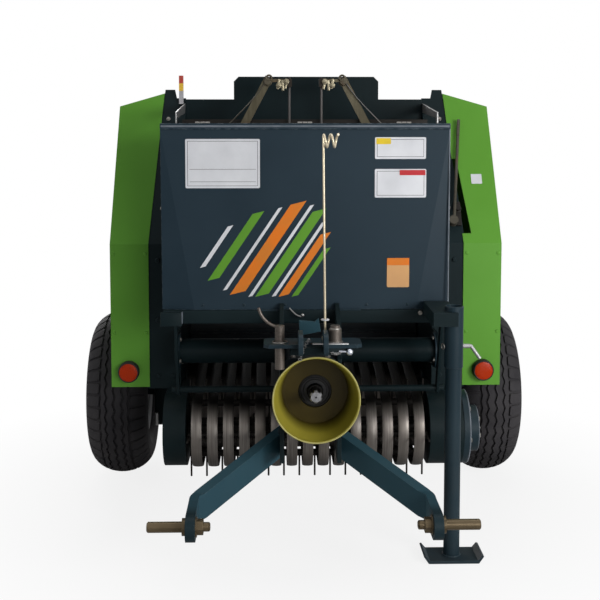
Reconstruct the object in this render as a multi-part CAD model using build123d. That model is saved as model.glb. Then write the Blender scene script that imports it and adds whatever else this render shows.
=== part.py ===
# Small round baler for a three-point hitch, standing on its wheels and its parking jack.
# +X is to the right seen from the tractor, +Y points to the rear and +Z points up.
# Lengths are in millimetres. Y is measured from the wheel axle while the pieces are drawn;
# write() then shifts them so that the origin lies under the middle of the machine.
from build123d import *
import math
import os

# Bale chamber
chamber_width = 800
chamber_y = 40
chamber_z = 800
roller_pitch_radius = 328
roller_radius = 60
rib_height = 8
rib_count = 8
roller_end_gap = 6
roller_wall = 4
front_roller_angles = [120, 156, 192, 264]
tailgate_roller_angles = [300, 336, 12, 48, 84]
bearing_radius = 36
bearing_length = 13
stub_radius = 15
running_gap = 0.1

# Side plates and the posts along their front edges
plate_thickness = 8
post_y = -375
post_low_z = 380
post_kink_z = 842
post_top_z = 1335
post_step = 29
post_slope = 31.5
post_width = 104
post_top_width = 70
post_step_width = 30
post_thickness = 6
split_gap = 3
split_low_y = 105
split_low_z = 400
hinge_y = -60
hinge_z = 1262
hinge_radius = 36
hinge_pin_radius = 15
tailgate_rim = 85
tie_radius = 24
tie_wall = 4
guard_depth = 32
hinge_lug_thickness = 10
hinge_lug_gap = 2
top_plate_y = -100
top_plate_low_z = 1202
top_plate_shoulder_z = 1302
top_plate_high_z = 1378
top_plate_thickness = 4
raised_half = 244
raised_x = 7
raised_chamfer = 16

# Axle and wheels
wheel_radius = 281
tyre_width = 205
tyre_wall = 15
rim_wall = 6
wheel_gap = 19
flank_inset = 34
widest_rise = 53
crown_steps = 6
bead_radius = 152
axle_size = 60
axle_wall = 6
axle_beam_half = 508
axle_lobe_radius = 62
spindle_inset = 40
spindle_radius = 17.5
hub_radius = 52
seat_gap = 0.3

# Front beam, cross tube and mast
beam_y = -620
beam_size = 40
beam_wall = 4
beam_low_z = 638
beam_half = 425
beam_solid_x = 365
bracket_low_x = 334
bracket_high_x = 403
bracket_front_y = -838
bracket_low_z = 664
bracket_high_z = 703
cross_tube_y = -440
cross_tube_z = 515
cross_tube_radius = 38
cross_tube_wall = 6
press_bar_y = -545
press_bar_z = 420
press_bar_radius = 10
mast_x = 75
mast_thickness = 12
mast_front_y = -770
mast_low_z = 262
mast_lug = 18
pto_x = 11
pto_z = 475
pto_end_y = -858
pto_radius = 17.5
pto_hub_radius = 46.5
bowl_front_y = -890
bowl_back_y = -785
bowl_front_radius = 120
bowl_back_radius = 95
bowl_wall = 4
gearbox_back_y = -620
neck_radius = 45
gearbox_low = 82
gearbox_high = 88

# Hitch
arm_thickness = 25
arm_height = 70
arm_outer_x = 331.5
arm_root_y = -640
arm_root_z = 300
arm_bend_y = -912
arm_tip_y = -1074
arm_tip_z = 182
pin_y = -1029
pin_radius = 14
pin_length = 91
collar_radius = 22.5
collar_length = 10
head_z = 625
head_thickness = 10
head_width = 262
head_back_y = -835
head_pin_left_x = -88
head_pin_right_x = 61
head_pin_radius = 13
head_pin_drop = 62
head_pin_rise = 46
head_pin_y = -893
head_front_y = -925
ear_gap = 54
ear_thickness = 12
ear_radius = 30
ear_front = 40
ear_drop = 18
top_link_y = -955
top_link_z = 642
top_link_radius = 12.75

# Twine box behind the front cover
box_x = -11
box_half = 419
box_front_y = -634
box_back_y = -410
box_top_z = 1221
box_lip = 16
sheet = 3
fold_width = 95
fold_depth = 16
lip_depth = 6

# Green side covers
cover_inner_x = 498
cover_outer_x = 619
cover_top_inner_x = 472
cover_low_z = 386
cover_front_gap = 3.3
cover_back_y = 72
cover_outer_top_z = 1278
cover_inner_top_z = 1322
arch_radius = 330
lamp_x = 563
lamp_z = 437
lamp_radius = 33.5
lamp_depth = 22

# Pickup
reel_y = -435
reel_z = 268
band_radius = 115
band_thickness = 3
band_width = 32
band_pitch = 48.5
band_count = 15
band_rise = 10.5
band_end_y = -82
pickup_floor_thickness = 3
tine_bar_count = 4
tine_bar_radius = 80
tine_radius = 3
tine_tip_radius = 154
tine_clearance = 9
shield_inner_x = 373
shield_outer_x = 442
shield_rim = 4
shield_plate = 5
shield_back_y = -250
cam_radius = 114
cam_start_x = 478
cam_width = 20
cam_hub_radius = 71
cam_hub_width = 34
cam_hub_drop = 5
carrier_size = 30

# Parking jack
jack_x = 396
jack_y = -804
leg_radius = 22.5
sleeve_radius = 26
sleeve_low_z = 545
sleeve_high_z = 712
foot_width = 168
foot_depth = 98
foot_thickness = 8
leg_gap = 0.5
lock_pin_radius = 6
lock_pin_z = 604
lock_pin_reach = 18

# Tailgate cylinders
cylinder_x = 450
lower_pin_y = -180
lower_pin_z = 690
upper_pin_y = 140
upper_pin_z = 1160
barrel_radius = 26
barrel_bore = 20
rod_radius = 14
piston_radius = 19.7
eye_radius = 24
eye_width = 36
cylinder_pin_radius = 12
stand_off_radius = 16

# Small fittings
holder_x = 36
holder_y = -858
holder_top_z = 1191
holder_radius = 4
holder_lean = -0.011
pigtail_radius = 17
pigtail_pitch = 20
pigtail_turns = 2
indicator_width = 14
indicator_inset = 16
indicator_low_z = 1286
indicator_high_z = 1381
stay_thickness = 4
stay_reach_z = 1288
stay_width = 22
lever_x = 470
lever_z = 905
lever_length = 330

# Twine arms and their rail
twine_pivot_x = 207
twine_pivot_z = 1200
twine_tip_x = 118
twine_tip_z = 1369
twine_arm_y = -250
twine_arm_width = 26
twine_arm_thickness = 8
twine_rail_y = -231
twine_rail_thickness = 8
twine_tube_x = 52
guide_radius = 4

# Derived values that several pieces share
plate_in = chamber_width / 2
plate_out = plate_in + plate_thickness
slope = math.tan(math.radians(post_slope))
outer_roller = roller_radius + rib_height
tailgate_radius = roller_pitch_radius + tailgate_rim
axle_shift = (-arm_tip_y - chamber_y - tailgate_radius) / 2
gap = running_gap
tyre_inner_x = axle_beam_half + wheel_gap
rim_half = tyre_width / 2 - flank_inset


def write(name, shape):
    export_step(Pos(0, axle_shift, 0) * shape, f"parts/{name}.step")


def mirrored(shape):
    return mirror(shape, about=Plane.YZ)


def side_face(*points):
    """A face in the YZ plane through the given (y, z) points."""
    return Plane.YZ * make_face(Polyline(*points, close=True))


def side_solid(face, low_x, high_x):
    return Pos(low_x, 0, 0) * extrude(face, high_x - low_x)


def disc_x(radius, low_x, high_x, y, z):
    """A round bar along X."""
    return side_solid(Pos(0, y, z) * (Plane.YZ * Circle(radius)), low_x, high_x)


def disc_y(radius, low_y, high_y, x, z):
    """A round bar along Y."""
    bar = Cylinder(radius, high_y - low_y, align=(Align.CENTER, Align.CENTER, Align.MIN))
    return Pos(x, low_y, z) * Rot(-90, 0, 0) * bar


def disc_z(radius, low_z, high_z, x, y):
    """A round bar along Z."""
    bar = Cylinder(radius, high_z - low_z, align=(Align.CENTER, Align.CENTER, Align.MIN))
    return Pos(x, y, low_z) * bar


def block(low_x, high_x, low_y, high_y, low_z, high_z):
    centre = Pos((low_x + high_x) / 2, (low_y + high_y) / 2, (low_z + high_z) / 2)
    return centre * Box(high_x - low_x, high_y - low_y, high_z - low_z)


def roller_place(angle):
    turn = math.radians(angle)
    y = chamber_y + roller_pitch_radius * math.cos(turn)
    z = chamber_z + roller_pitch_radius * math.sin(turn)
    return y, z


def slope_y(z, ahead=0):
    """Y of the sloping front face at a height, moved ahead of it at right angles."""
    return post_y + (z - post_kink_z) * slope - ahead / math.cos(math.radians(post_slope))


def split_y(z):
    """Y of the line that parts the front body from the tailgate."""
    return hinge_y + (split_low_y - hinge_y) * (hinge_z - z) / (hinge_z - split_low_z)


def capsule(start, end, radius, low_x, high_x):
    """A plate with two round ends, across X."""
    length = math.dist(start, end)
    turn = math.degrees(math.atan2(end[1] - start[1], end[0] - start[0]))
    flat = Rectangle(length, 2 * radius, align=(Align.MIN, Align.CENTER))
    outline = flat + Circle(radius) + Pos(length, 0) * Circle(radius)
    face = Plane.YZ * (Pos(*start) * Rot(0, 0, turn) * outline)
    return side_solid(face, low_x, high_x)


# Front body: side plates, posts, cross members

def bearing(angle):
    y, z = roller_place(angle)
    return disc_x(bearing_radius, plate_out, plate_out + bearing_length, y, z)


def stub_hole(angle):
    y, z = roller_place(angle)
    return disc_x(stub_radius + gap, plate_in - 1, plate_out + bearing_length + 1, y, z)


def side_plate():
    split_top = (split_y(hinge_z) - split_gap, hinge_z)
    split_low = (split_low_y - split_gap, split_low_z)
    outline = side_face(
        (post_y, post_low_z),
        (post_y, post_kink_z),
        (slope_y(post_top_z - post_step), post_top_z - post_step),
        (slope_y(post_top_z - post_step) + 12, post_top_z - post_step),
        split_top,
        split_low,
        (axle_lobe_radius, wheel_radius),
        (-axle_lobe_radius, wheel_radius),
        (-2 * axle_lobe_radius, post_low_z),
    )
    plate = side_solid(outline, plate_in, plate_out)
    plate += disc_x(axle_lobe_radius, plate_in, plate_out, 0, wheel_radius)
    plate += disc_x(hinge_radius, plate_in, plate_out, hinge_y, hinge_z)
    ear_radius_here = cross_tube_radius + 18
    plate += capsule(
        (cross_tube_y, cross_tube_z), (post_y + 40, cross_tube_z), ear_radius_here, plate_in, plate_out
    )
    post = side_face(
        (post_y, post_low_z),
        (post_y, post_kink_z),
        (slope_y(post_top_z), post_top_z),
        (slope_y(post_top_z) + post_thickness, post_top_z),
        (post_y + post_thickness, post_kink_z - 2),
        (post_y + post_thickness, post_low_z),
    )
    width = make_face(
        Polyline(
            (plate_in, post_low_z - 1),
            (plate_in + post_width, post_low_z - 1),
            (plate_in + post_width, post_kink_z),
            (plate_in + post_top_width, post_top_z + 1),
            (plate_in + post_step_width + 8, post_top_z + 1),
            (plate_in + post_step_width, post_top_z - post_step),
            (plate_in, post_top_z - post_step),
            close=True,
        )
    )
    strip = side_solid(post, plate_in, plate_in + post_width)
    plate += strip & (Pos(0, 400, 0) * extrude(Plane.XZ * width, 1000))
    tab_low_x = plate_in + post_width - 4
    for low_z in (cover_low_z + 150, post_kink_z - 90):
        plate += block(tab_low_x, cover_inner_x + 32, post_y, post_y + post_thickness, low_z, low_z + 40)
    for angle in front_roller_angles:
        plate += bearing(angle)
    for angle in front_roller_angles:
        plate -= stub_hole(angle)
    half = axle_size / 2 + seat_gap
    plate -= block(plate_in - 1, plate_out + 1, -half, half, wheel_radius - half, wheel_radius + half)
    pin_end = plate_out + hinge_lug_gap + hinge_lug_thickness + 4
    plate += disc_x(hinge_pin_radius, plate_in, pin_end, hinge_y, hinge_z)
    plate += disc_x(
        cylinder_pin_radius, plate_in, cylinder_x + eye_width / 2 + 4, lower_pin_y, lower_pin_z
    )
    plate += disc_x(stand_off_radius, plate_out, cylinder_x - eye_width / 2 - 2, lower_pin_y, lower_pin_z)
    return plate


def front_beam():
    half = beam_size / 2
    beam = block(-beam_half, beam_half, beam_y - half, beam_y + half, beam_low_z, beam_low_z + beam_size)
    inner = half - beam_wall
    beam -= block(
        -beam_solid_x, beam_solid_x, beam_y - inner, beam_y + inner,
        beam_low_z + beam_wall, beam_low_z + beam_size - beam_wall
    )
    side_z = (beam_low_z - 10, beam_low_z + beam_size)
    bracket = side_face(
        (beam_y - half, beam_low_z),
        (beam_y - half, bracket_high_z),
        (bracket_front_y, bracket_high_z),
        (bracket_front_y, bracket_low_z),
        (beam_y - 2 * half, bracket_low_z),
    )
    for side in (-1, 1):
        low_x, high_x = sorted((side * (plate_out + 0.5), side * (plate_out + 12)))
        beam += block(low_x, high_x, beam_y, post_y, *side_z)
        low_x, high_x = sorted((side * bracket_low_x, side * bracket_high_x))
        beam += side_solid(bracket, low_x, high_x)
    return beam - disc_z(sleeve_radius + seat_gap, bracket_low_z - 9, bracket_high_z + 9, jack_x, jack_y)


def cross_tube():
    tube = disc_x(cross_tube_radius, -plate_in, plate_in, cross_tube_y, cross_tube_z)
    return tube - disc_x(
        cross_tube_radius - cross_tube_wall, -plate_in - 1, plate_in + 1, cross_tube_y, cross_tube_z
    )


def press_bar():
    half = plate_in + 12
    bar = disc_x(press_bar_radius, -half, half, press_bar_y, press_bar_z)
    for x in (-plate_in + 4, plate_in - 12):
        bar += capsule((press_bar_y, press_bar_z), (beam_y + 6, beam_low_z), 16, x, x + 8)
    return bar - block(-half, half, beam_y - 60, beam_y + 60, beam_low_z, beam_low_z + 60)


def axle_beam():
    half = axle_size / 2
    beam = block(-axle_beam_half, axle_beam_half, -half, half, wheel_radius - half, wheel_radius + half)
    inner = half - axle_wall
    hollow = axle_beam_half - spindle_inset
    beam -= block(-hollow, hollow, -inner, inner, wheel_radius - inner, wheel_radius + inner)
    spindle_end = tyre_inner_x + tyre_width - spindle_inset
    for side in (-1, 1):
        low_x, high_x = sorted((side * axle_beam_half, side * spindle_end))
        beam += disc_x(spindle_radius, low_x, high_x, 0, wheel_radius)
    return beam


def top_plate():
    shoulder_z = top_plate_shoulder_z
    high_z = top_plate_high_z
    left, right = raised_x - raised_half, raised_x + raised_half
    outline = make_face(
        Polyline(
            (-plate_in, top_plate_low_z),
            (plate_in, top_plate_low_z),
            (plate_in, shoulder_z),
            (right, shoulder_z),
            (right, high_z - raised_chamfer),
            (right - raised_chamfer, high_z),
            (left + raised_chamfer, high_z),
            (left, high_z - raised_chamfer),
            (left, shoulder_z),
            (-plate_in, shoulder_z),
            close=True,
        )
    )
    thick = top_plate_thickness
    plate = Pos(0, top_plate_y, 0) * extrude(Plane.XZ * outline, thick)
    plate += block(
        -plate_in, plate_in, top_plate_y, top_plate_y + 7 * thick, top_plate_low_z, top_plate_low_z + thick
    )
    return plate


# Mast, gearbox and hitch

def mast():
    outline = side_face(
        (mast_front_y, mast_low_z),
        (mast_front_y, 560),
        (bowl_back_y - 5, 590),
        (head_back_y - 30, 600),
        (head_back_y - 30, head_z),
        (bowl_back_y, head_z),
        (beam_y - beam_size / 2, beam_low_z + beam_size + 20),
        (beam_y - beam_size / 2, beam_low_z),
        (beam_y + beam_size / 2, beam_low_z),
        (cross_tube_y, cross_tube_z + cross_tube_radius + mast_lug),
        (cross_tube_y, cross_tube_z - cross_tube_radius - mast_lug),
        (arm_root_y + 20, mast_low_z + 20),
        (arm_root_y, mast_low_z),
    )
    plate = side_solid(outline, mast_x, mast_x + mast_thickness)
    plate += disc_x(cross_tube_radius + mast_lug, mast_x, mast_x + mast_thickness, cross_tube_y, cross_tube_z)
    plate -= disc_x(
        cross_tube_radius + seat_gap, mast_x - 1, mast_x + mast_thickness + 1, cross_tube_y, cross_tube_z
    )
    plate -= disc_x(
        press_bar_radius + seat_gap, mast_x - 1, mast_x + mast_thickness + 1, press_bar_y, press_bar_z
    )
    plate -= disc_x(
        tine_tip_radius + tine_clearance, mast_x - 1, mast_x + mast_thickness + 1, reel_y, reel_z
    )
    return Compound([plate, mirrored(plate)])


def gearbox():
    half = mast_x - 0.5
    body = block(-half, half, mast_front_y, gearbox_back_y, pto_z - gearbox_low, pto_z + gearbox_high)
    body = fillet(body.edges().filter_by(Axis.Y), 18)
    body += disc_y(neck_radius, gearbox_back_y, cross_tube_y, pto_x, pto_z)
    body += disc_y(pto_hub_radius, bowl_back_y + bowl_wall, mast_front_y, pto_x, pto_z)
    body -= disc_x(
        cross_tube_radius + seat_gap, -half - 1, half + 1, cross_tube_y, cross_tube_z
    )
    body -= block(
        -half - 1, half + 1, cross_tube_y - 8, cross_tube_y + 60,
        pto_z - gearbox_low - 20, pto_z + gearbox_high + 20
    )
    body -= disc_y(pto_radius + 3 + gap, bowl_back_y - 5, gearbox_back_y - 40, pto_x, pto_z)
    return body


def pto_shaft():
    shaft = disc_y(pto_radius - 3, pto_end_y, bowl_back_y, pto_x, pto_z)
    for index in range(6):
        tooth = Pos(pto_x, 0, pto_z) * Rot(0, index * 60, 0)
        shaft += tooth * block(-4.3, 4.3, pto_end_y, bowl_back_y - 12, 10, pto_radius)
    form = disc_y(pto_radius, pto_end_y, bowl_back_y, pto_x, pto_z)
    shaft &= chamfer(form.edges().sort_by(Axis.Y)[0], 4)
    shaft -= disc_y(3, pto_end_y - 1, pto_end_y + 9, pto_x, pto_z)
    shaft += disc_y(pto_radius + 3, bowl_back_y - 20, gearbox_back_y - 45, pto_x, pto_z)
    return shaft


def pto_guard():
    depth = bowl_back_y - bowl_front_y
    wall = make_face(
        Polyline(
            (pto_hub_radius + seat_gap, 0),
            (bowl_back_radius, 0),
            (bowl_front_radius - 2, depth - 8),
            (bowl_front_radius, depth),
            (bowl_front_radius - bowl_wall - 2, depth),
            (bowl_front_radius - bowl_wall - 2, depth - 8),
            (bowl_back_radius - bowl_wall, bowl_wall),
            (pto_hub_radius + seat_gap, bowl_wall),
            close=True,
        )
    )
    bowl = revolve(Plane.XZ * wall, Axis.Z)
    bowl = Pos(pto_x, bowl_back_y, pto_z) * Rot(90, 0, 0) * bowl
    seat = disc_y(bowl_back_radius - 14, bowl_back_y, mast_front_y, pto_x, pto_z)
    seat -= disc_y(pto_hub_radius + seat_gap, bowl_back_y - 1, mast_front_y + 1, pto_x, pto_z)
    return bowl + seat


def lower_arm():
    half = arm_thickness / 2
    centre_x = arm_outer_x - half
    root_x = mast_x + mast_thickness
    plan = make_face(
        Polyline(
            (root_x, arm_root_y - 34),
            (root_x, arm_root_y + 6),
            (centre_x + half, arm_bend_y + 12),
            (centre_x + half, arm_tip_y),
            (centre_x - half, arm_tip_y),
            (centre_x - half, arm_bend_y),
            close=True,
        )
    )
    plan = fillet(plan.vertices().group_by(Axis.Y)[2], 60)
    tall = arm_height / 2
    side = side_face(
        (arm_root_y + 10, arm_root_z - tall),
        (arm_root_y + 10, arm_root_z + tall),
        (arm_bend_y + 20, arm_tip_z + tall + 6),
        (arm_bend_y - 20, arm_tip_z + tall),
        (arm_tip_y + tall, arm_tip_z + tall),
        (arm_tip_y + tall, arm_tip_z - tall),
        (arm_bend_y - 20, arm_tip_z - tall),
        (arm_bend_y + 20, arm_tip_z - tall + 6),
    )
    body = side_solid(side, 0, arm_outer_x + 20)
    body += disc_x(tall, 0, arm_outer_x + 20, arm_tip_y + tall, arm_tip_z)
    arm = extrude(plan, 600) & body
    return arm - disc_x(12.3, 200, arm_outer_x + 1, pin_y, arm_tip_z)


def hitch_pin():
    shoulder = arm_outer_x + collar_length
    pin = disc_x(pin_radius, shoulder, shoulder + pin_length, pin_y, arm_tip_z)
    pin = chamfer(pin.edges().sort_by(Axis.X)[-1], 3)
    pin -= disc_z(3.5, arm_tip_z - 30, arm_tip_z + 30, shoulder + pin_length - 14, pin_y)
    pin += disc_x(collar_radius, arm_outer_x, shoulder, pin_y, arm_tip_z)
    inner = arm_outer_x - arm_thickness
    pin += disc_x(12, inner - 34, arm_outer_x, pin_y, arm_tip_z)
    nut = Pos(inner - 20, pin_y, arm_tip_z) * extrude(Plane.YZ * RegularPolygon(21, 6), 20)
    return pin + nut


def hitch_head():
    half = head_width / 2
    head = block(-half, half, head_front_y, head_back_y, head_z, head_z + head_thickness)
    head = chamfer(head.edges().filter_by(Axis.Z), 14)
    inner = ear_gap / 2
    outer = inner + ear_thickness
    ear = capsule((top_link_y, top_link_z), (top_link_y + ear_front, top_link_z), ear_radius, inner, outer)
    ear &= block(0, outer, top_link_y - 2 * ear_radius, head_back_y, head_z - ear_drop, head_z + 3 * ear_radius)
    ears = ear + mirrored(ear)
    head -= block(-inner, inner, head_front_y - 1, head_front_y + 32, head_z - 1, head_z + head_thickness + 1)
    head += ears
    head -= disc_x(top_link_radius, -outer - 1, outer + 1, top_link_y, top_link_z)
    for x in (head_pin_left_x, head_pin_right_x):
        head -= disc_z(head_pin_radius + seat_gap, head_z - 20, head_z + 30, x, head_pin_y)
    return head


def head_pins():
    y = head_pin_y
    top = head_z + head_thickness
    x = head_pin_left_x
    left = disc_z(head_pin_radius, head_z - head_pin_drop, top + head_pin_rise, x, y) + disc_z(18, top, top + 4, x, y)
    grip = Wire([Edge.make_three_point_arc(
        (x, y, top + head_pin_rise - 5), (x - 36, y, top + head_pin_rise + 12), (x - 56, y, top + head_pin_rise + 48)
    )])
    left += sweep(Plane(origin=grip @ 0, z_dir=grip % 0) * Circle(4), path=grip)
    x = head_pin_right_x
    right = disc_z(head_pin_radius, head_z - 18, top + head_pin_rise, x, y) + disc_z(17, top, top + 36, x, y)
    return Compound([left, right])


# Twine box, covers and lamps

def fold_side(side, inset):
    """Everything in front of the slanting fold that runs from a top corner of the cover down and inwards."""
    low_z = beam_low_z + beam_size
    corner = Vector(box_x + side * box_half, box_front_y, box_top_z - box_lip)
    inner = Vector(box_x + side * (box_half - fold_width), box_front_y, low_z)
    outer = Vector(box_x + side * box_half, box_front_y + fold_depth, low_z)
    normal = ((inner - corner).cross(outer - corner) * side).normalized()
    if normal.Y > 0:
        normal = normal * -1
    far = 4 * box_half
    ahead = Box(far, far, far, align=(Align.CENTER, Align.CENTER, Align.MIN))
    return Plane(origin=corner - normal * inset, z_dir=normal) * ahead


def front_cover():
    low_z = beam_low_z + beam_size
    left, right = box_x - box_half, box_x + box_half
    box = block(left, right, box_front_y, box_back_y, low_z, box_top_z)
    inner = block(
        left + sheet, right - sheet, box_front_y + sheet, box_back_y - sheet, low_z + sheet, box_top_z + 1
    )
    for side in (-1, 1):
        box -= fold_side(side, 0)
        inner -= fold_side(side, sheet)
    box -= inner
    return box + block(left, right, box_front_y - lip_depth, box_front_y + sheet, box_top_z - box_lip, box_top_z)


def side_cover():
    front_y = post_y - cover_front_gap
    back_top_y = cover_back_y

    def outline(inset):
        face = side_face(
            (front_y + inset, cover_low_z - 200 * (inset > 0)),
            (front_y + inset, post_kink_z),
            (slope_y(cover_inner_top_z + 40, cover_front_gap) + inset / math.cos(math.radians(post_slope)),
             cover_inner_top_z + 40),
            (back_top_y - inset, cover_inner_top_z + 40),
            (back_top_y - inset, cover_low_z - 200 * (inset > 0)),
        )
        return side_solid(face, 300, 700)

    def front(inset, reach):
        face = make_face(
            Polyline(
                (cover_inner_x - reach, cover_low_z - reach),
                (cover_outer_x - inset, cover_low_z - reach),
                (cover_outer_x - inset, cover_outer_top_z - inset),
                (cover_top_inner_x - reach, cover_inner_top_z - inset + reach * 0.3),
                (cover_inner_x - reach, post_kink_z),
                close=True,
            )
        )
        return Pos(0, 400, 0) * extrude(Plane.XZ * face, 900)

    shell = (outline(0) & front(0, 0)) - (outline(sheet) & front(sheet, 60))
    shell -= disc_x(arch_radius, 300, 800, 0, wheel_radius)
    return shell


def notch():
    """The window in the right cover's sloping front, narrow at the top and wider below."""
    corner = make_face(Polyline((470, 1104), (498, 1104), (525, 872), (470, 872), close=True))
    return extrude(Plane.XZ * corner, 500) - block(300, 700, -20, 60, 800, 1200)


def lamp(side):
    y = post_y - cover_front_gap
    body = disc_y(lamp_radius, y - lamp_depth, y, side * lamp_x, lamp_z)
    return fillet(body.edges().sort_by(Axis.Y)[0], 6)


# Pickup

def pickup_bands():
    rise = math.radians(band_rise)
    ring = Circle(band_radius) - Circle(band_radius - band_thickness)
    start = (band_radius * math.cos(math.pi / 2 + rise), band_radius * math.sin(math.pi / 2 + rise))
    cut = make_face(
        Polyline((0, 0), (2 * start[0], 2 * start[1]), (400, 400), (400, -400), (0, -400), close=True)
    )
    ring -= cut
    reach = (band_end_y - reel_y - start[0]) / math.cos(rise)
    upper = Rectangle(reach, band_thickness, align=(Align.MIN, Align.MAX))
    upper = Pos(*start) * Rot(0, 0, band_rise) * upper
    low_reach = 190
    lower = Pos(-0.5, -band_radius) * Rectangle(low_reach, band_thickness, align=(Align.MIN, Align.MIN))
    outline = Plane.YZ * (Pos(reel_y, reel_z) * (ring + upper + lower))
    bands = [
        side_solid(outline, x - band_width / 2, x + band_width / 2)
        for x in (band_pitch * (index - (band_count - 1) / 2) for index in range(band_count))
    ]
    low_y = reel_y + low_reach - carrier_size
    low_top = reel_z - band_radius + band_thickness
    lower_bar = block(
        -shield_inner_x, shield_inner_x, low_y, low_y + carrier_size, low_top, low_top + carrier_size
    )
    end_z = reel_z + start[1] + reach * math.sin(rise)
    upper_bar = block(
        -plate_in, plate_in, band_end_y - carrier_size, band_end_y - 4,
        end_z - carrier_size - 12, end_z - band_thickness - 5
    )
    floor_low_z = low_top + carrier_size - 1
    floor_high_z = end_z - carrier_size - 8
    floor_low_y, floor_high_y = low_y + carrier_size - 5, band_end_y - carrier_size + 2
    floor = side_face(
        (floor_low_y, floor_low_z),
        (floor_low_y + pickup_floor_thickness, floor_low_z),
        (floor_high_y + pickup_floor_thickness, floor_high_z),
        (floor_high_y, floor_high_z),
    )
    return Part() + [*bands, lower_bar, upper_bar, side_solid(floor, -plate_in, plate_in)]


def pickup_reel():
    half = band_pitch * band_count / 2 + 4
    reel = disc_x(stub_radius, -half - 24, cam_start_x + 12, reel_y, reel_z)
    bars = []
    for turn in range(tine_bar_count):
        spin = Pos(0, reel_y, reel_z) * Rot(360 / tine_bar_count * turn, 0, 0)
        bars.append(spin * disc_x(11, -half, half, 0, tine_bar_radius))
        length = tine_tip_radius - tine_bar_radius
        for index in range(band_count + 1):
            x = band_pitch * (index - band_count / 2)
            tine = Pos(x, 0, tine_bar_radius) * extrude(RegularPolygon(tine_radius, 6), length)
            bars.append(spin * tine)
        for x in (-half + 3, -band_pitch * 2.5, band_pitch * 2.5, half - 9):
            bars.append(spin * block(x, x + 6, -14, 14, 0, tine_bar_radius))
    return reel + bars


def pickup_shield(outer_x):
    def outline(inset):
        radius = band_radius - 2 - inset
        low = reel_z - radius
        face = Circle(radius)
        face += Pos(0, -radius) * Rectangle(
            shield_back_y - reel_y - inset, radius + post_low_z - reel_z - inset,
            align=(Align.MIN, Align.MIN),
        )
        return Plane.YZ * (Pos(reel_y, reel_z) * face)

    tray = side_solid(outline(0), shield_inner_x, outer_x)
    tray -= side_solid(outline(shield_rim), shield_inner_x + shield_plate, outer_x + 1)
    tray += disc_x(38, shield_inner_x, shield_inner_x + 24, reel_y, reel_z)
    tray -= disc_x(stub_radius + gap, shield_inner_x - 1, shield_inner_x + 30, reel_y, reel_z)
    return tray


def cam_housing():
    end = cam_start_x + cam_width
    housing = disc_x(cam_radius, cam_start_x, end, reel_y, reel_z + 2)
    housing = fillet(housing.edges().sort_by(Axis.X)[-1], 5)
    housing += disc_x(cam_hub_radius, end, end + cam_hub_width, reel_y, reel_z - cam_hub_drop)
    return housing - disc_x(stub_radius + 1, cam_start_x - 1, cam_start_x + 14, reel_y, reel_z)


# Parking jack

def jack_sleeve():
    sleeve = disc_z(sleeve_radius, sleeve_low_z, sleeve_high_z, jack_x, jack_y)
    sleeve -= disc_z(leg_radius + leg_gap, sleeve_low_z - 1, sleeve_high_z + 1, jack_x, jack_y)
    return sleeve - disc_x(lock_pin_radius + seat_gap, jack_x, jack_x + 40, jack_y, lock_pin_z)


def jack_leg():
    leg = disc_z(leg_radius, foot_thickness, sleeve_high_z - 20, jack_x, jack_y)
    leg -= disc_z(leg_radius - 4, foot_thickness + 4, sleeve_high_z, jack_x, jack_y)
    half = foot_width / 2
    deep = foot_depth / 2
    section = Polyline(
        (-half, 20), (-half + 14, 0), (half - 14, 0), (half, 20),
        (half - 5, 22), (half - 17, foot_thickness), (-half + 17, foot_thickness), (-half + 5, 22),
        close=True,
    )
    plate = Pos(jack_x, jack_y + deep, 0) * extrude(Plane.XZ * make_face(section), foot_depth)
    return leg + plate


def jack_lock_pin():
    start = jack_x + leg_radius + 2 * leg_gap
    knee = jack_x + sleeve_radius + lock_pin_reach
    pin = disc_x(lock_pin_radius, start, knee, jack_y, lock_pin_z)
    route = Polyline(
        (knee - 6, jack_y, lock_pin_z), (knee + 4, jack_y, lock_pin_z), (knee + 28, jack_y - 10, lock_pin_z - 34)
    )
    section = Plane(origin=route @ 0, z_dir=route % 0) * Circle(lock_pin_radius - 1)
    return pin + sweep(section, path=route, transition=Transition.ROUND)


# Tailgate

def tailgate_side():
    plate = disc_x(tailgate_radius, plate_in, plate_out, chamber_y, chamber_z)
    far = 600
    ahead = side_face(
        (split_y(hinge_z) + split_gap, hinge_z),
        (split_low_y + split_gap, split_low_z),
        (split_y(250) + split_gap, 250),
        (-far, 250),
        (-far, hinge_z + 100),
        (split_y(hinge_z) + split_gap, hinge_z + 100),
    )
    plate -= side_solid(ahead, plate_in - 1, plate_out + 1)
    clear = hinge_radius + 8
    plate -= disc_x(clear, plate_in - 1, plate_out + 1, hinge_y, hinge_z)
    lug_in = plate_out + hinge_lug_gap
    lug_out = lug_in + hinge_lug_thickness
    lug_end = (upper_pin_y - 20, upper_pin_z - 5)
    lug = capsule((hinge_y, hinge_z), lug_end, hinge_radius, lug_in, lug_out)
    plate += lug
    plate += disc_x(hinge_radius - 6, plate_out, lug_in, *lug_end)
    plate -= disc_x(hinge_pin_radius + gap, lug_in - 1, lug_out + 1, hinge_y, hinge_z)
    for angle in tailgate_roller_angles:
        plate += bearing(angle)
    for angle in tailgate_roller_angles:
        plate -= stub_hole(angle)
    plate += disc_x(eye_radius, plate_out, lug_out, upper_pin_y, upper_pin_z)
    return plate


def tailgate_ties():
    ties = []
    radius = roller_pitch_radius + 50
    for angle in (66, 30, 354, 318):
        turn = math.radians(angle)
        y = chamber_y + radius * math.cos(turn)
        z = chamber_z + radius * math.sin(turn)
        tie = disc_x(tie_radius, -plate_in, plate_in, y, z)
        ties.append(tie - disc_x(tie_radius - tie_wall, -plate_in - 1, plate_in + 1, y, z))
    return Compound(ties)


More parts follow.
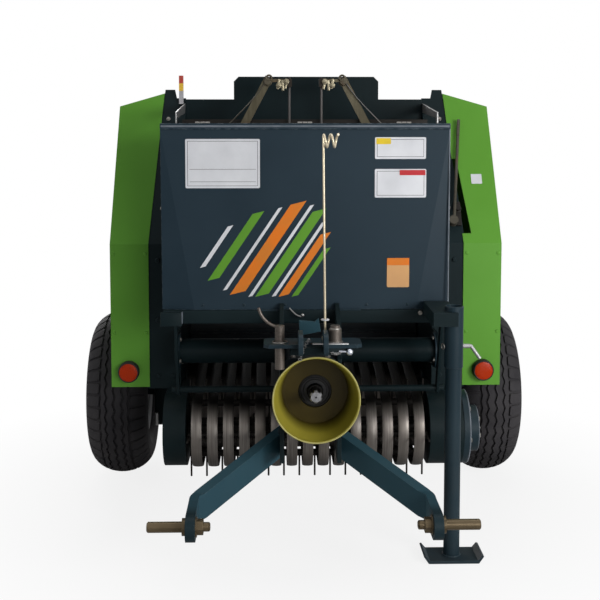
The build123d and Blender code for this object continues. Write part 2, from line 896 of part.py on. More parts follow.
def chain_guard():
    """A closed cover over the roller ends on the left of the tailgate."""
    def sector(inset):
        inner = roller_pitch_radius - bearing_radius - 14 + inset
        outer = roller_pitch_radius + bearing_radius + 14 - inset
        start, end = -73 + inset / 5, 62 - inset / 5
        ring = Circle(outer) - Circle(inner)
        far = 3 * outer
        spread = [start + (end - start) * step / 3 for step in range(4)]
        rim = [(far * math.cos(math.radians(a)), far * math.sin(math.radians(a))) for a in spread]
        wedge = make_face(Polyline((0, 0), *rim, close=True))
        return Plane.YZ * (Pos(chamber_y, chamber_z) * (ring & wedge))

    guard = side_solid(sector(0), -plate_out - guard_depth, -plate_out)
    return guard - side_solid(sector(sheet), -plate_out - guard_depth + sheet, -plate_out + 1)


def roller(angle):
    y, z = roller_place(angle)
    half = plate_in - roller_end_gap
    drum = disc_x(roller_radius, -half, half, y, z)
    drum -= disc_x(roller_radius - roller_wall, -half + 8, half - 8, y, z)
    stub_end = plate_out + bearing_length - 1
    for low_x in (-stub_end, half - 8):
        drum += disc_x(stub_radius, low_x, low_x + stub_end - half + 8, y, z)
    for index in range(rib_count):
        spin = Pos(0, y, z) * Rot(360 / rib_count * (index + 0.5), 0, 0)
        drum += spin * block(-half, half, -5, 5, roller_radius - roller_wall / 2, outer_roller)
    return drum


# Tailgate cylinders

rise_y = upper_pin_y - lower_pin_y
rise_z = upper_pin_z - lower_pin_z
closed_length = math.hypot(rise_y, rise_z)
along = Plane(
    origin=(cylinder_x, lower_pin_y, lower_pin_z), x_dir=(1, 0, 0), z_dir=(0, rise_y, rise_z)
)


def barrel():
    end = closed_length - 62
    body = Pos(0, 0, 18) * Cylinder(barrel_radius, end - 18, align=(Align.CENTER, Align.CENTER, Align.MIN))
    body -= Pos(0, 0, 44) * Cylinder(barrel_bore, end - 44 - 22, align=(Align.CENTER, Align.CENTER, Align.MIN))
    body -= Pos(0, 0, 44) * Cylinder(rod_radius + gap, end, align=(Align.CENTER, Align.CENTER, Align.MIN))
    body += Rot(0, 90, 0) * Cylinder(eye_radius, eye_width)
    body -= Rot(0, 90, 0) * Cylinder(cylinder_pin_radius + gap, eye_width + 2)
    return along * body


def rod():
    body = Pos(0, 0, 50) * Cylinder(rod_radius, closed_length - 60, align=(Align.CENTER, Align.CENTER, Align.MIN))
    body += Pos(0, 0, 50) * Cylinder(piston_radius, 24, align=(Align.CENTER, Align.CENTER, Align.MIN))
    eye = Rot(0, 90, 0) * Cylinder(eye_radius - 2, eye_width - 6)
    pin = Pos(-2, 0, 0) * Rot(0, 90, 0) * Cylinder(cylinder_pin_radius, eye_width + 10)
    return along * (body + Pos(0, 0, closed_length) * (eye + pin))


# Wheels

def tyre():
    half = tyre_width / 2

    def profile(wall):
        flank = [(bead_radius - 1 * (wall > 0), half - flank_inset - wall)]
        widest = bead_radius + widest_rise
        for step in range(crown_steps + 1):
            turn = math.pi / 2 * step / (crown_steps + 0.5)
            flank.append((widest + (wheel_radius - widest - wall) * math.sin(turn), (half - wall) * math.cos(turn)))
        flank.append((wheel_radius - wall, flank[-1][1] / 3))
        return make_face(Polyline(*[(r, -x) for r, x in flank], *reversed(flank), close=True))

    ring = revolve(Plane.XZ * (profile(0) - profile(tyre_wall)), Axis.Z)
    return Pos(tyre_inner_x + half, 0, wheel_radius) * Rot(0, 90, 0) * ring


def rim():
    half = rim_half
    radius = bead_radius - seat_gap
    well = radius - 16
    section = make_face(
        Polyline(
            (radius, -half), (radius, -half + 34), (well, -half + 44), (well, half - 44),
            (radius, half - 34), (radius, half), (radius + 7, half + 7), (radius + 3, half + 10),
            (radius - rim_wall, half), (radius - rim_wall, half - 32), (well - rim_wall, half - 42),
            (well - rim_wall, -half + 66), (hub_radius + 34, -half + 40), (hub_radius, -half + 40),
            (hub_radius, -half + 32), (hub_radius + 36, -half + 32), (well - rim_wall, -half + 58),
            (well - rim_wall, -half + 42), (radius - rim_wall, -half + 32), (radius - rim_wall, -half),
            (radius + 3, -half - 10), (radius + 7, -half - 7),
            close=True,
        )
    )
    disc = revolve(Plane.XZ * section, Axis.Z)
    hub_ring = Circle(hub_radius + 1) - Circle(spindle_radius + gap)
    hub = Pos(0, 0, -half - 6) * extrude(hub_ring, 96)
    return Pos(tyre_inner_x + tyre_width / 2, 0, wheel_radius) * Rot(0, 90, 0) * (disc + hub)


# Twine arms

def twine_rail():
    half = twine_rail_thickness / 2
    low_z, high_z = twine_pivot_z - 20, twine_pivot_z + 34
    rail = block(-plate_in, plate_in, twine_rail_y - half, twine_rail_y + half, low_z, high_z)
    for side in (-1, 1):
        low_x, high_x = sorted((side * (plate_in - 8), side * plate_in))
        rail += block(low_x, high_x, twine_rail_y, -105, low_z, high_z)
        pin_y_front = twine_arm_y - 10
        rail += disc_y(7, pin_y_front, twine_rail_y, side * twine_pivot_x, twine_pivot_z)
        rail += disc_y(13, twine_arm_y + 5, twine_rail_y, side * twine_pivot_x, twine_pivot_z)
    return rail


def twine_arm():
    rise = twine_tip_z - twine_pivot_z
    run = twine_pivot_x - twine_tip_x
    length = math.hypot(rise, run)
    turn = math.degrees(math.atan2(rise, -run))
    half = twine_arm_thickness / 2
    flat = Rectangle(length, twine_arm_width, align=(Align.MIN, Align.CENTER)) + Circle(twine_arm_width / 2)
    bar = extrude(flat, twine_arm_thickness)
    bar = Pos(twine_pivot_x, twine_arm_y + half, twine_pivot_z) * Rot(90, 0, 0) * Rot(0, 0, turn) * bar
    bar -= disc_y(7 + gap, twine_arm_y - 20, twine_arm_y + 20, twine_pivot_x, twine_pivot_z)
    y = twine_arm_y
    cross = block(twine_tube_x - 8, twine_tip_x + 12, y - 9, y - half, twine_tip_z - 15, twine_tip_z - 5)
    tube = disc_z(guide_radius, twine_pivot_z + 20, twine_tip_z, twine_tube_x, y)
    clamp = block(twine_tube_x - 8, twine_tube_x + 8, y - 9, y + 8, twine_tip_z - 30, twine_tip_z - 5)
    return bar + cross + tube + clamp


# Small fittings

def box_stay(side):
    """A bent strap from the top of the box up to the sloping post."""
    back = box_back_y - sheet
    reach = stay_reach_z
    face = side_face(
        (back - stay_width, box_top_z - 60),
        (back, box_top_z - 60),
        (back, box_top_z + 16),
        (slope_y(reach - 20), reach - 32),
        (slope_y(reach), reach),
        (back - stay_width, box_top_z + 34),
    )
    x = side * (plate_in + stay_thickness / 2)
    stay = side_solid(face, x - stay_thickness / 2, x + stay_thickness / 2)
    return stay - behind_posts(x - 10, x + 10)


def behind_posts(low_x, high_x):
    """Everything behind the sloping front faces of the posts."""
    low_z, high_z = post_kink_z, post_top_z + 30
    face = side_face(
        (slope_y(low_z, seat_gap), low_z), (slope_y(high_z, seat_gap), high_z), (high_z, high_z), (high_z, low_z)
    )
    return side_solid(face, low_x, high_x)


def hose_holder():
    """A leaning rod whose top is wound into a pigtail that hoses slip into."""
    low_z = head_z + head_thickness
    top_x = holder_x + holder_lean * (holder_top_z - low_z)
    steps = 8
    coil = [
        (
            top_x + pigtail_pitch * turn,
            holder_y - pigtail_radius * math.sin(2 * math.pi * turn),
            holder_top_z - pigtail_radius * (1 - math.cos(2 * math.pi * turn)),
        )
        for turn in (step / steps for step in range(steps * pigtail_turns + 1))
    ]
    route = Polyline((holder_x, holder_y, low_z + 1), *coil)
    section = Plane(origin=route @ 0, z_dir=route % 0) * Circle(holder_radius)
    stand = sweep(section, path=route, transition=Transition.RIGHT)
    return stand + disc_z(2 * holder_radius + 1, low_z, low_z + 12, holder_x, holder_y)


def level_indicator():
    centre = box_x - box_half + indicator_inset
    half = indicator_width / 2
    mid_z = (indicator_low_z + post_top_z - post_step) / 2
    body = block(
        centre - half, centre + half, slope_y(mid_z) - indicator_width, slope_y(mid_z) + 4,
        indicator_low_z, indicator_high_z
    )
    return body - behind_posts(centre - 2 * half, centre + 2 * half)


def valve_lever():
    tilt = math.radians(post_slope)
    seat = Plane(
        origin=(lever_x, slope_y(lever_z, seat_gap), lever_z),
        x_dir=(1, 0, 0),
        z_dir=(0, -math.cos(tilt), math.sin(tilt)),
    )
    boss = seat * Cylinder(15, 22, align=(Align.CENTER, Align.CENTER, Align.MIN))
    lean = Plane(origin=(lever_x, slope_y(lever_z, 17), lever_z), x_dir=(1, 0, 0), z_dir=(0.14, slope, 1))
    return boss + lean * Cylinder(5, lever_length, align=(Align.CENTER, Align.CENTER, Align.MIN))


os.makedirs("parts", exist_ok=True)

right_plate = side_plate()
write("side_plate_right", right_plate)
write("side_plate_left", mirrored(right_plate))
write("front_beam", front_beam())
write("cross_tube", cross_tube())
write("press_bar", press_bar())
write("axle_beam", axle_beam())
write("top_plate", top_plate())
write("mast", mast())
write("gearbox", gearbox())
write("pto_shaft", pto_shaft())
write("pto_guard", pto_guard())
right_arm = lower_arm()
write("lower_arm_right", right_arm)
write("lower_arm_left", mirrored(right_arm))
right_pin = hitch_pin()
write("hitch_pins", Compound([right_pin, mirrored(right_pin)]))
write("hitch_head", hitch_head())
write("head_pins", head_pins())
write("front_cover", front_cover())
right_cover = side_cover()
write("side_cover_right", right_cover - notch())
write("side_cover_left", mirrored(right_cover))
write("lamps", Compound([lamp(-1), lamp(1)]))
write("pickup_bands", pickup_bands())
write("pickup_reel", pickup_reel())
write("pickup_shields", Compound([pickup_shield(cam_start_x), mirrored(pickup_shield(shield_outer_x))]))
write("cam_housing", cam_housing())
write("jack_sleeve", jack_sleeve())
write("jack_leg", jack_leg())
write("jack_lock_pin", jack_lock_pin())
right_gate = tailgate_side()
write("tailgate_side_right", right_gate)
write("tailgate_side_left", mirrored(right_gate))
write("tailgate_ties", tailgate_ties())
write("tailgate_chain_guard", chain_guard())
for number, angle in enumerate(front_roller_angles + tailgate_roller_angles, start=1):
    write(f"roller_{number}", roller(angle))
right_barrel = barrel()
right_rod = rod()
write("cylinder_right", right_barrel)
write("cylinder_left", mirrored(right_barrel))
write("rod_right", right_rod)
write("rod_left", mirrored(right_rod))
right_tyre = tyre()
right_rim = rim()
write("tyre_right", right_tyre)
write("tyre_left", mirrored(right_tyre))
write("rim_right", right_rim)
write("rim_left", mirrored(right_rim))
write("twine_rail", twine_rail())
right_twine = twine_arm()
write("twine_arm_right", right_twine)
write("twine_arm_left", mirrored(right_twine))
write("box_stays", Compound([box_stay(-1), box_stay(1)]))
write("hose_holder", hose_holder())
write("level_indicator", level_indicator())
write("valve_lever", valve_lever())
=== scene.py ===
import math
import bmesh
import bpy
import numpy as np
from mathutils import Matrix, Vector


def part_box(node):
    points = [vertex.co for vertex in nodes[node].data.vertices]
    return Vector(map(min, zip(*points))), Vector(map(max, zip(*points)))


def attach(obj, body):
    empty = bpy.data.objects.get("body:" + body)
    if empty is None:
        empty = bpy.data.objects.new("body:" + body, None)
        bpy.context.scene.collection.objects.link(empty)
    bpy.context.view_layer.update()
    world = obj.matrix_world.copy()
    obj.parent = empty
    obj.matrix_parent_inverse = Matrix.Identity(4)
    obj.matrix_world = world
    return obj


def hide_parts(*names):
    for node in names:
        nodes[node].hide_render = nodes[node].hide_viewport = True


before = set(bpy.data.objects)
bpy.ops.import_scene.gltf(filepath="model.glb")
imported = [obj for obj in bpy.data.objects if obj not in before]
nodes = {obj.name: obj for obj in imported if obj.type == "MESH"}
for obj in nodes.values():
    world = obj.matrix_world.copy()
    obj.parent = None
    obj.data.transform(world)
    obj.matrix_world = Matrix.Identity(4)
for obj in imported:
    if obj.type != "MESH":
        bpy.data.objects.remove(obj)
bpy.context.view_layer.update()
print("frame loaded with", len(nodes), "solid pieces")


# camera: place, turn towards +X and pitch down in radians, lens in mm

camera = {
    "place": (-0.103, -3.3582, 1.2187),
    "turn": 0.025,
    "pitch": 0.0817,
    "lens": 62.96,
    "shift": -0.15,
}


def newObject(name, data):
    made = bpy.data.objects.new(name, data)
    bpy.context.scene.collection.objects.link(made)
    return made


def setCamera():
    data = bpy.data.cameras.new("camera")
    data.lens = camera["lens"]
    data.sensor_width = 36
    data.shift_y = camera["shift"]
    data.clip_end = 60
    holder = newObject("camera", data)
    holder.location = camera["place"]
    holder.rotation_euler = (math.pi / 2 - camera["pitch"], 0, -camera["turn"])
    bpy.context.scene.camera = holder


setCamera()


# shapes: each is (points, corners of the faces one after another, corners in each face)

up = (0, 0, 1)
forward = (0, -1, 0)
fullTurn = 2 * math.pi


def unit(vectors):
    # each vector divided by its length
    vectors = np.asarray(vectors, float)
    return vectors / np.linalg.norm(vectors, axis=-1, keepdims=True)


def strip(rows, ends=True, loop=False):
    # each row is a closed ring, and neighbouring points of neighbouring rows are joined by
    # four-cornered faces; loop joins the last row to the first, ends closes the end rows flat
    rows = np.asarray(rows, float)
    count, around = rows.shape[:2]
    lastRow = count if loop else count - 1
    i, j = np.meshgrid(np.arange(lastRow), np.arange(around), indexing="ij")
    nextI, nextJ = (i + 1) % count, (j + 1) % around
    quads = [i * around + j, i * around + nextJ, nextI * around + nextJ, nextI * around + j]
    corners = np.stack(quads, -1).ravel()
    sizes = np.full(len(corners) // 4, 4)
    if ends and not loop:
        first = np.arange(around)[::-1]
        last = np.arange(around) + (count - 1) * around
        corners = np.concatenate([corners, first, last])
        sizes = np.concatenate([sizes, [around, around]])
    return rows.reshape(-1, 3), corners, sizes


def turned(profile, sides):
    # each (radius, height) of the profile is carried once round the upright axis
    profile = np.asarray(profile, float)
    angle = np.arange(sides) * fullTurn / sides
    circle = np.stack([np.cos(angle), np.sin(angle)], -1)
    flat = profile[:, None, :1] * circle[None]
    height = np.repeat(profile[:, None, 1:], sides, axis=1)
    return np.concatenate([flat, height], -1)


def hexagon(profile):
    # like turned, but the radius grows to 1 / cos of the angle from the middle of each flat
    sides = 24
    rows = turned(profile, sides)
    angle = np.arange(sides) * fullTurn / sides
    away = np.mod(angle + math.pi / 6, math.pi / 3) - math.pi / 6
    rows[..., :2] /= np.cos(away)[None, :, None]
    return rows


def axesAlong(facing):
    # the axes of a frame whose z looks along facing and whose x lies level
    z = unit(facing)
    upright = abs(z[2]) > 0.9
    x = unit(np.cross((0, 1, 0) if upright else up, z))
    return np.stack([x, np.cross(z, x), z])


def placed(shape, origin, facing=up):
    # points times the turned axes, plus the origin
    points, corners, sizes = shape
    return points @ axesAlong(facing) + np.asarray(origin), corners, sizes


def lathed(profile, sides, origin, facing=up, ends=True):
    # a turned profile, set down at origin with its axis along facing
    return placed(strip(turned(profile, sides), ends=ends), origin, facing)


def copies(shape, origins, facing=up):
    # one shape set on every origin, as a single shape
    points, corners, sizes = shape
    origins = np.asarray(origins, float).reshape(-1, 3)
    laid = points @ axesAlong(facing)
    allPoints = (laid[None] + origins[:, None]).reshape(-1, 3)
    steps = np.arange(len(origins))[:, None] * len(points)
    return allPoints, (corners[None] + steps).ravel(), np.tile(sizes, len(origins))


def pipe(path, radius, sides, side=up):
    # a ring stands square to the path at each of its points
    path = np.asarray(path, float)
    along = unit(np.gradient(path, axis=0))
    across = unit(np.cross(along, side))
    over = np.cross(across, along)
    angle = np.arange(sides) * fullTurn / sides
    radius = np.broadcast_to(np.asarray(radius, float), (len(path),))[:, None, None]
    wide = across[:, None] * np.cos(angle)[None, :, None]
    return strip(path[:, None] + radius * (wide + over[:, None] * np.sin(angle)[None, :, None]))


def curved(points, steps):
    # a smooth line through the points: each stretch leans on the points before and after it
    points = np.asarray(points, float)
    before, after = 2 * points[:1] - points[1:2], 2 * points[-1:] - points[-2:-1]
    ghost = np.concatenate([before, points, after])
    t = np.linspace(0, 1, steps, endpoint=False)[None, :, None]
    a, b, c, d = (ghost[i : len(ghost) - 3 + i, None] for i in range(4))
    bend = (2 * a - 5 * b + 4 * c - d) * t**2 + (3 * b - a - 3 * c + d) * t**3
    line = 0.5 * (2 * b + (c - a) * t + bend)
    return np.concatenate([line.reshape(-1, 3), points[-1:]])


def roundedOutline(width, height, radius, steps=5):
    # four quarter circles whose centres stand in from the corners by the radius
    quarter = np.linspace(0, math.pi / 2, steps)
    angle = (quarter[None] + np.arange(4)[:, None] * math.pi / 2).ravel()
    centre = np.repeat(np.array([(1, 1), (-1, 1), (-1, -1), (1, -1)], float), steps, axis=0)
    centre *= (width / 2 - radius, height / 2 - radius)
    return centre + radius * np.stack([np.cos(angle), np.sin(angle)], -1)


def slab(outline, thickness, bevel=0.0):
    # the flat outline at the foot, at the shoulder and, drawn in by the bevel, at the top
    outline = np.asarray(outline, float)
    middle = outline.mean(0)
    reach = np.abs(outline - middle).max()
    levels = [(0, 1), (thickness, 1)]
    if bevel:
        levels = [(0, 1), (thickness - bevel, 1), (thickness, 1 - bevel / reach)]
    rows = [
        np.column_stack([middle + (outline - middle) * scale, np.full(len(outline), height)])
        for height, scale in levels
    ]
    return strip(rows)


def onFace(shape, origin, u, v):
    # the shape's x and y are laid along u and v, and its height along their cross product
    points, corners, sizes = shape
    u, v = unit(u), unit(v)
    return points @ np.stack([u, v, np.cross(u, v)]) + np.asarray(origin), corners, sizes


def facingFront(shape, y):
    # the shape's y becomes z, and its height stands forward from y
    points, corners, sizes = shape
    return np.column_stack([points[:, 0], y - points[:, 2], points[:, 1]]), corners, sizes


def moved(shape, offset):
    # every point plus the offset
    return shape[0] + np.asarray(offset), shape[1], shape[2]


def joined(*shapes):
    # one shape of several: each one's corner numbers go on from the points before it
    starts = np.cumsum([0] + [len(shape[0]) for shape in shapes[:-1]])
    return (
        np.concatenate([shape[0] for shape in shapes]),
        np.concatenate([shape[1] + start for shape, start in zip(shapes, starts)]),
        np.concatenate([shape[2] for shape in shapes]),
    )


def addPiece(name, shapes, finish, body="frame", smooth=32, stands=()):
    # one mesh that rides on its body; edges sharper than smooth degrees stay sharp, and
    # stands names the solid pieces that it takes the place of
    points, corners, sizes = joined(*shapes)
    mesh = bpy.data.meshes.new(name)
    mesh.vertices.add(len(points))
    mesh.vertices.foreach_set("co", points.ravel())
    mesh.loops.add(len(corners))
    mesh.loops.foreach_set("vertex_index", corners.astype(np.int32))
    mesh.polygons.add(len(sizes))
    starts = np.concatenate([[0], np.cumsum(sizes)[:-1]])
    mesh.polygons.foreach_set("loop_start", starts.astype(np.int32))
    mesh.update(calc_edges=True)
    builder = bmesh.new()
    builder.from_mesh(mesh)
    bmesh.ops.recalc_face_normals(builder, faces=builder.faces)
    builder.to_mesh(mesh)
    builder.free()
    mesh.shade_smooth()
    mesh.set_sharp_from_angle(angle=math.radians(smooth))
    piece = newObject(name, mesh)
    mesh.materials.append(materials[finish])
    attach(piece, body)
    if stands:
        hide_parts(*stands)
    return piece


# materials: helpers


def give(tree, socket, value):
    # a socket is linked, a colour of three parts gets its alpha, anything else is set
    if isinstance(value, bpy.types.NodeSocket):
        tree.links.new(value, socket)
    elif socket.type == "RGBA" and len(value) == 3:
        socket.default_value = (*value, 1)
    else:
        socket.default_value = value


def addNode(tree, kind, inputs=None, **settings):
    node = tree.nodes.new("ShaderNode" + kind)
    for key, value in settings.items():
        setattr(node, key, value)
    for key, value in (inputs or {}).items():
        give(tree, node.inputs[key], value)
    return node


def mixColour(tree, factor, first, second):
    inputs = {0: factor, 6: first, 7: second}
    return addNode(tree, "Mix", inputs, data_type="RGBA").outputs[2]


def layered(tree, colour, *layers):
    # each layer is a mask and the colour that it lays over what is below
    for mask, over in layers:
        colour = mixColour(tree, mask, colour, over)
    return colour


def ranged(tree, value, low, high, fromLow=0.0, fromHigh=1.0):
    inputs = {0: value, 1: fromLow, 2: fromHigh, 3: low, 4: high}
    return addNode(tree, "MapRange", inputs).outputs[0]


def maths(tree, operation, first, second, clamp=False):
    node = addNode(tree, "Math", {0: first, 1: second}, operation=operation, use_clamp=clamp)
    return node.outputs[0]


def noise(tree, vector, scale, detail, roughness=0.5):
    inputs = {"Vector": vector, "Scale": scale, "Detail": detail, "Roughness": roughness}
    return addNode(tree, "TexNoise", inputs).outputs[0]


def nodeOf(tree, kind):
    return [node for node in tree.nodes if node.type == kind][0]


def partOf(tree, vector, axis):
    return addNode(tree, "SeparateXYZ", {0: vector}).outputs[axis]


# node groups


def newGroup(name, inputs, outputs):
    # every group takes Vector first; a tuple makes a vector input and a number a plain one
    group = bpy.data.node_groups.new(name, "ShaderNodeTree")
    group.interface.new_socket("Vector", in_out="INPUT", socket_type="NodeSocketVector")
    for label, value in inputs.items():
        kind = "Vector" if isinstance(value, tuple) else "Float"
        socket = group.interface.new_socket(label, in_out="INPUT", socket_type="NodeSocket" + kind)
        socket.default_value = value
    for label, kind in outputs.items():
        group.interface.new_socket(label, in_out="OUTPUT", socket_type="NodeSocket" + kind)
    given = group.nodes.new("NodeGroupInput").outputs
    return group, given, group.nodes.new("NodeGroupOutput").inputs


def buildPaintGrain():
    # fine orange peel, and wide patches where the coat is a little thicker
    outputs = {"Peel": "Float", "Patches": "Float"}
    group, given, out = newGroup("paintGrain", {"Fine": 320.0, "Wide": 3.0}, outputs)
    give(group, out["Peel"], noise(group, given["Vector"], given["Fine"], 3.0))
    wide = noise(group, given["Vector"], given["Wide"], 5.0)
    give(group, out["Patches"], ranged(group, wide, 0, 1, 0.35, 0.65))
    return group


def buildEdgeWear():
    # where the rounded normal leaves the flat one there is an edge, and noise breaks it up
    inputs = {"Width": 0.003, "Breakup": 60.0, "Amount": 0.6}
    group, given, out = newGroup("edgeWear", inputs, {"Mask": "Float", "Normal": "Vector"})
    rounded = addNode(group, "Bevel", {"Radius": given["Width"]}, samples=4).outputs[0]
    flat = addNode(group, "NewGeometry").outputs["Normal"]
    match = addNode(group, "VectorMath", {0: rounded, 1: flat}, operation="DOT_PRODUCT")
    edge = ranged(group, match.outputs["Value"], 1, 0, 0.86, 0.995)
    broken = ranged(group, noise(group, given["Vector"], given["Breakup"], 4.0), 0, 1, 0.42, 0.6)
    both = maths(group, "MULTIPLY", edge, broken)
    give(group, out["Mask"], maths(group, "MULTIPLY", both, given["Amount"], True))
    give(group, out["Normal"], rounded)
    return group


def buildSettledDust():
    # dust lies on faces that look up and thickens towards the ground
    group, given, out = newGroup("settledDust", {"Upper": 0.25, "Low": 0.3}, {"Mask": "Float"})
    facing = partOf(group, addNode(group, "NewGeometry").outputs["Normal"], "Z")
    height = partOf(group, given["Vector"], "Z")
    above = maths(group, "MULTIPLY", ranged(group, facing, 0, 1, 0.3, 1.0), given["Upper"])
    below = maths(group, "MULTIPLY", ranged(group, height, 1, 0, 0.02, 0.5), given["Low"])
    broken = ranged(group, noise(group, given["Vector"], 14.0, 7.0), 0.15, 1, 0.35, 0.7)
    total = maths(group, "ADD", above, below)
    give(group, out["Mask"], maths(group, "MULTIPLY", total, broken, True))
    return group


def buildRustBloom():
    # spots and streaks of brown oxide
    outputs = {"Mask": "Float", "Color": "Color"}
    group, given, out = newGroup("rustBloom", {"Scale": 22.0, "Amount": 0.5}, outputs)
    spots = noise(group, given["Vector"], given["Scale"], 9.0, 0.7)
    edge = maths(group, "SUBTRACT", 0.78, given["Amount"])
    top = maths(group, "ADD", edge, 0.16)
    give(group, out["Mask"], ranged(group, spots, 0.0, 1.0, edge, top))
    tone = ranged(group, noise(group, given["Vector"], 90.0, 3.0), 0, 1, 0.35, 0.65)
    give(group, out["Color"], mixColour(group, tone, (0.07, 0.03, 0.015), (0.22, 0.09, 0.03)))
    return group


def buildBrushed():
    # long thin scratches along one axis: noise whose space is squeezed across it
    inputs = {"Stretch": (4.0, 220.0, 220.0)}
    group, given, out = newGroup("brushedSteel", inputs, {"Streaks": "Float"})
    spread = {0: given["Vector"], 1: given["Stretch"]}
    laid = addNode(group, "VectorMath", spread, operation="MULTIPLY").outputs[0]
    give(group, out["Streaks"], ranged(group, noise(group, laid, 1.0, 5.0, 0.65), 0, 1, 0.3, 0.7))
    return group


groups = {
    "grain": buildPaintGrain(),
    "edge": buildEdgeWear(),
    "dust": buildSettledDust(),
    "rust": buildRustBloom(),
    "brushed": buildBrushed(),
}


def useGroup(tree, name, coords, **inputs):
    node = addNode(tree, "Group", {}, node_tree=groups[name])
    for key, value in {"Vector": coords, **inputs}.items():
        give(tree, node.inputs[key], value)
    return node.outputs


def startMaterial(name):
    material = bpy.data.materials.new(name)
    material.use_nodes = True
    tree = material.node_tree
    tree.nodes.clear()
    shader = addNode(tree, "BsdfPrincipled")
    addNode(tree, "OutputMaterial", {0: shader.outputs[0]})
    return tree, shader, addNode(tree, "TexCoord").outputs["Object"]


def closeMaterial(name, tree, shader, looks, height, bump, gloss=0.2, normal=None):
    # looks: colour, roughness and metallic; bump: strength and distance
    inputs = {"Height": height, "Strength": bump[0], "Distance": bump[1]}
    if normal is not None:
        inputs["Normal"] = normal
    looks = dict(zip(("Base Color", "Roughness", "Metallic"), looks))
    for key, value in looks.items():
        give(tree, shader.inputs[key], value)
    give(tree, shader.inputs["Normal"], addNode(tree, "Bump", inputs).outputs[0])
    shader.inputs["Specular IOR Level"].default_value = gloss
    return bpy.data.materials[name]


# paints: base, patch and edge colours; roughness, dust on top, dust low down, gloss

paints = {
    "bodyPaint": ((0.0095, 0.021, 0.029), (0.013, 0.027, 0.036), (0.08, 0.11, 0.13))
    + (0.40, 0.03, 0.04, 0.14),
    # about half of bodyPaint's brightness: a painted shade for the recessed frame parts
    "framePaint": ((0.0048, 0.0108, 0.0126), (0.0066, 0.0142, 0.0165), (0.04, 0.06, 0.07))
    + (0.46, 0.014, 0.02, 0.08),
    "boxPaint": ((0.0115, 0.024, 0.035), (0.015, 0.029, 0.041), (0.26, 0.30, 0.33))
    + (0.46, 0.014, 0.0, 0.13),
    "armPaint": ((0.020, 0.056, 0.076), (0.024, 0.064, 0.084), (0.12, 0.17, 0.19))
    + (0.42, 0.02, 0.02, 0.12),
    "greenPaint": ((0.096, 0.276, 0.030), (0.108, 0.300, 0.037), (0.18, 0.40, 0.10))
    + (0.42, 0.02, 0.03, 0.12),
    "ironPaint": ((0.009, 0.014, 0.018), (0.013, 0.019, 0.024), (0.08, 0.10, 0.12))
    + (0.5, 0.04, 0.04, 0.12),
    "rimPaint": ((0.32, 0.32, 0.33), (0.40, 0.40, 0.41), (0.26, 0.25, 0.23))
    + (0.38, 0.08, 0.1, 0.2),
    "rollerPaint": ((0.012, 0.017, 0.021), (0.019, 0.024, 0.028), (0.18, 0.18, 0.17))
    + (0.5, 0.08, 0.05, 0.12),
}
dustColour = (0.25, 0.22, 0.17)


def makePaint(name, base, patch, worn, shine, upper, low, gloss):
    # a coat with thicker patches, rubbed edges and settled dust, each mixed in by its mask
    tree, shader, coords = startMaterial(name)
    grain = useGroup(tree, "grain", coords)
    edge = useGroup(tree, "edge", coords, Width=0.0022, Amount=0.55)
    dust = useGroup(tree, "dust", coords, Upper=upper, Low=low)
    layers = (grain["Patches"], patch), (edge["Mask"], worn), (dust["Mask"], dustColour)
    rough = ranged(tree, grain["Patches"], shine - 0.05, shine + 0.07)
    rough = maths(tree, "ADD", rough, dust["Mask"], True)
    bump = (0.12, 0.0006)
    looks, normal = (layered(tree, base, *layers), rough), edge["Normal"]
    return closeMaterial(name, tree, shader, looks, grain["Peel"], bump, gloss, normal)


# base and dark colours, roughness, rust, metallic
metals = {
    "yellowZinc": ((0.125, 0.094, 0.055), (0.050, 0.036, 0.020), 0.34, 0.16, 0.6),
    "paleZinc": ((0.36, 0.32, 0.22), (0.11, 0.09, 0.06), 0.34, 0.2, 0.6),
    "bareSteel": ((0.130, 0.112, 0.098), (0.050, 0.041, 0.035), 0.38, 0.14, 0.6),
    "brightSteel": ((0.32, 0.32, 0.32), (0.17, 0.165, 0.16), 0.3, 0.1, 0.8),
    "oldSteel": ((0.075, 0.068, 0.053), (0.040, 0.035, 0.026), 0.5, 0.2, 0.4),
    "armSteel": ((0.090, 0.078, 0.054), (0.050, 0.042, 0.028), 0.46, 0.2, 0.35),
    "darkSteel": ((0.016, 0.014, 0.012), (0.008, 0.007, 0.006), 0.5, 0.12, 0.3),
    "wireSteel": ((0.14, 0.135, 0.13), (0.08, 0.077, 0.074), 0.36, 0.1, 0.6),
    "zincSteel": ((0.23, 0.22, 0.20), (0.11, 0.10, 0.095), 0.34, 0.14, 0.7),
    "creamZinc": ((0.66, 0.58, 0.42), (0.46, 0.39, 0.27), 0.3, 0.08, 0.55),
    "chromeKnob": ((0.62, 0.65, 0.72), (0.48, 0.52, 0.58), 0.16, 0.0, 0.9),
    "hardChrome": ((0.78, 0.79, 0.8), (0.68, 0.69, 0.7), 0.12, 0.0, 1.0),
}


def makeMetal(name, base, dark, shine, rusty, metallic):
    # brushed between dark and base; where rust blooms it is brown, rougher and less metallic
    tree, shader, coords = startMaterial(name)
    streaks = useGroup(tree, "brushed", coords)["Streaks"]
    grain = useGroup(tree, "grain", coords, Wide=9.0)
    rust = useGroup(tree, "rust", coords, Amount=rusty)
    edge = useGroup(tree, "edge", coords, Width=0.0015, Amount=0.3)
    layers = (streaks, base), (grain["Patches"], base), (rust["Mask"], rust["Color"])
    rough = ranged(tree, streaks, shine + 0.1, shine - 0.04)
    rough = maths(tree, "ADD", rough, ranged(tree, rust["Mask"], 0, 0.35), True)
    looks = (layered(tree, dark, *layers), rough, ranged(tree, rust["Mask"], metallic, 0.1))
    return closeMaterial(name, tree, shader, looks, streaks, (0.15, 0.0004), 0.2, edge["Normal"])


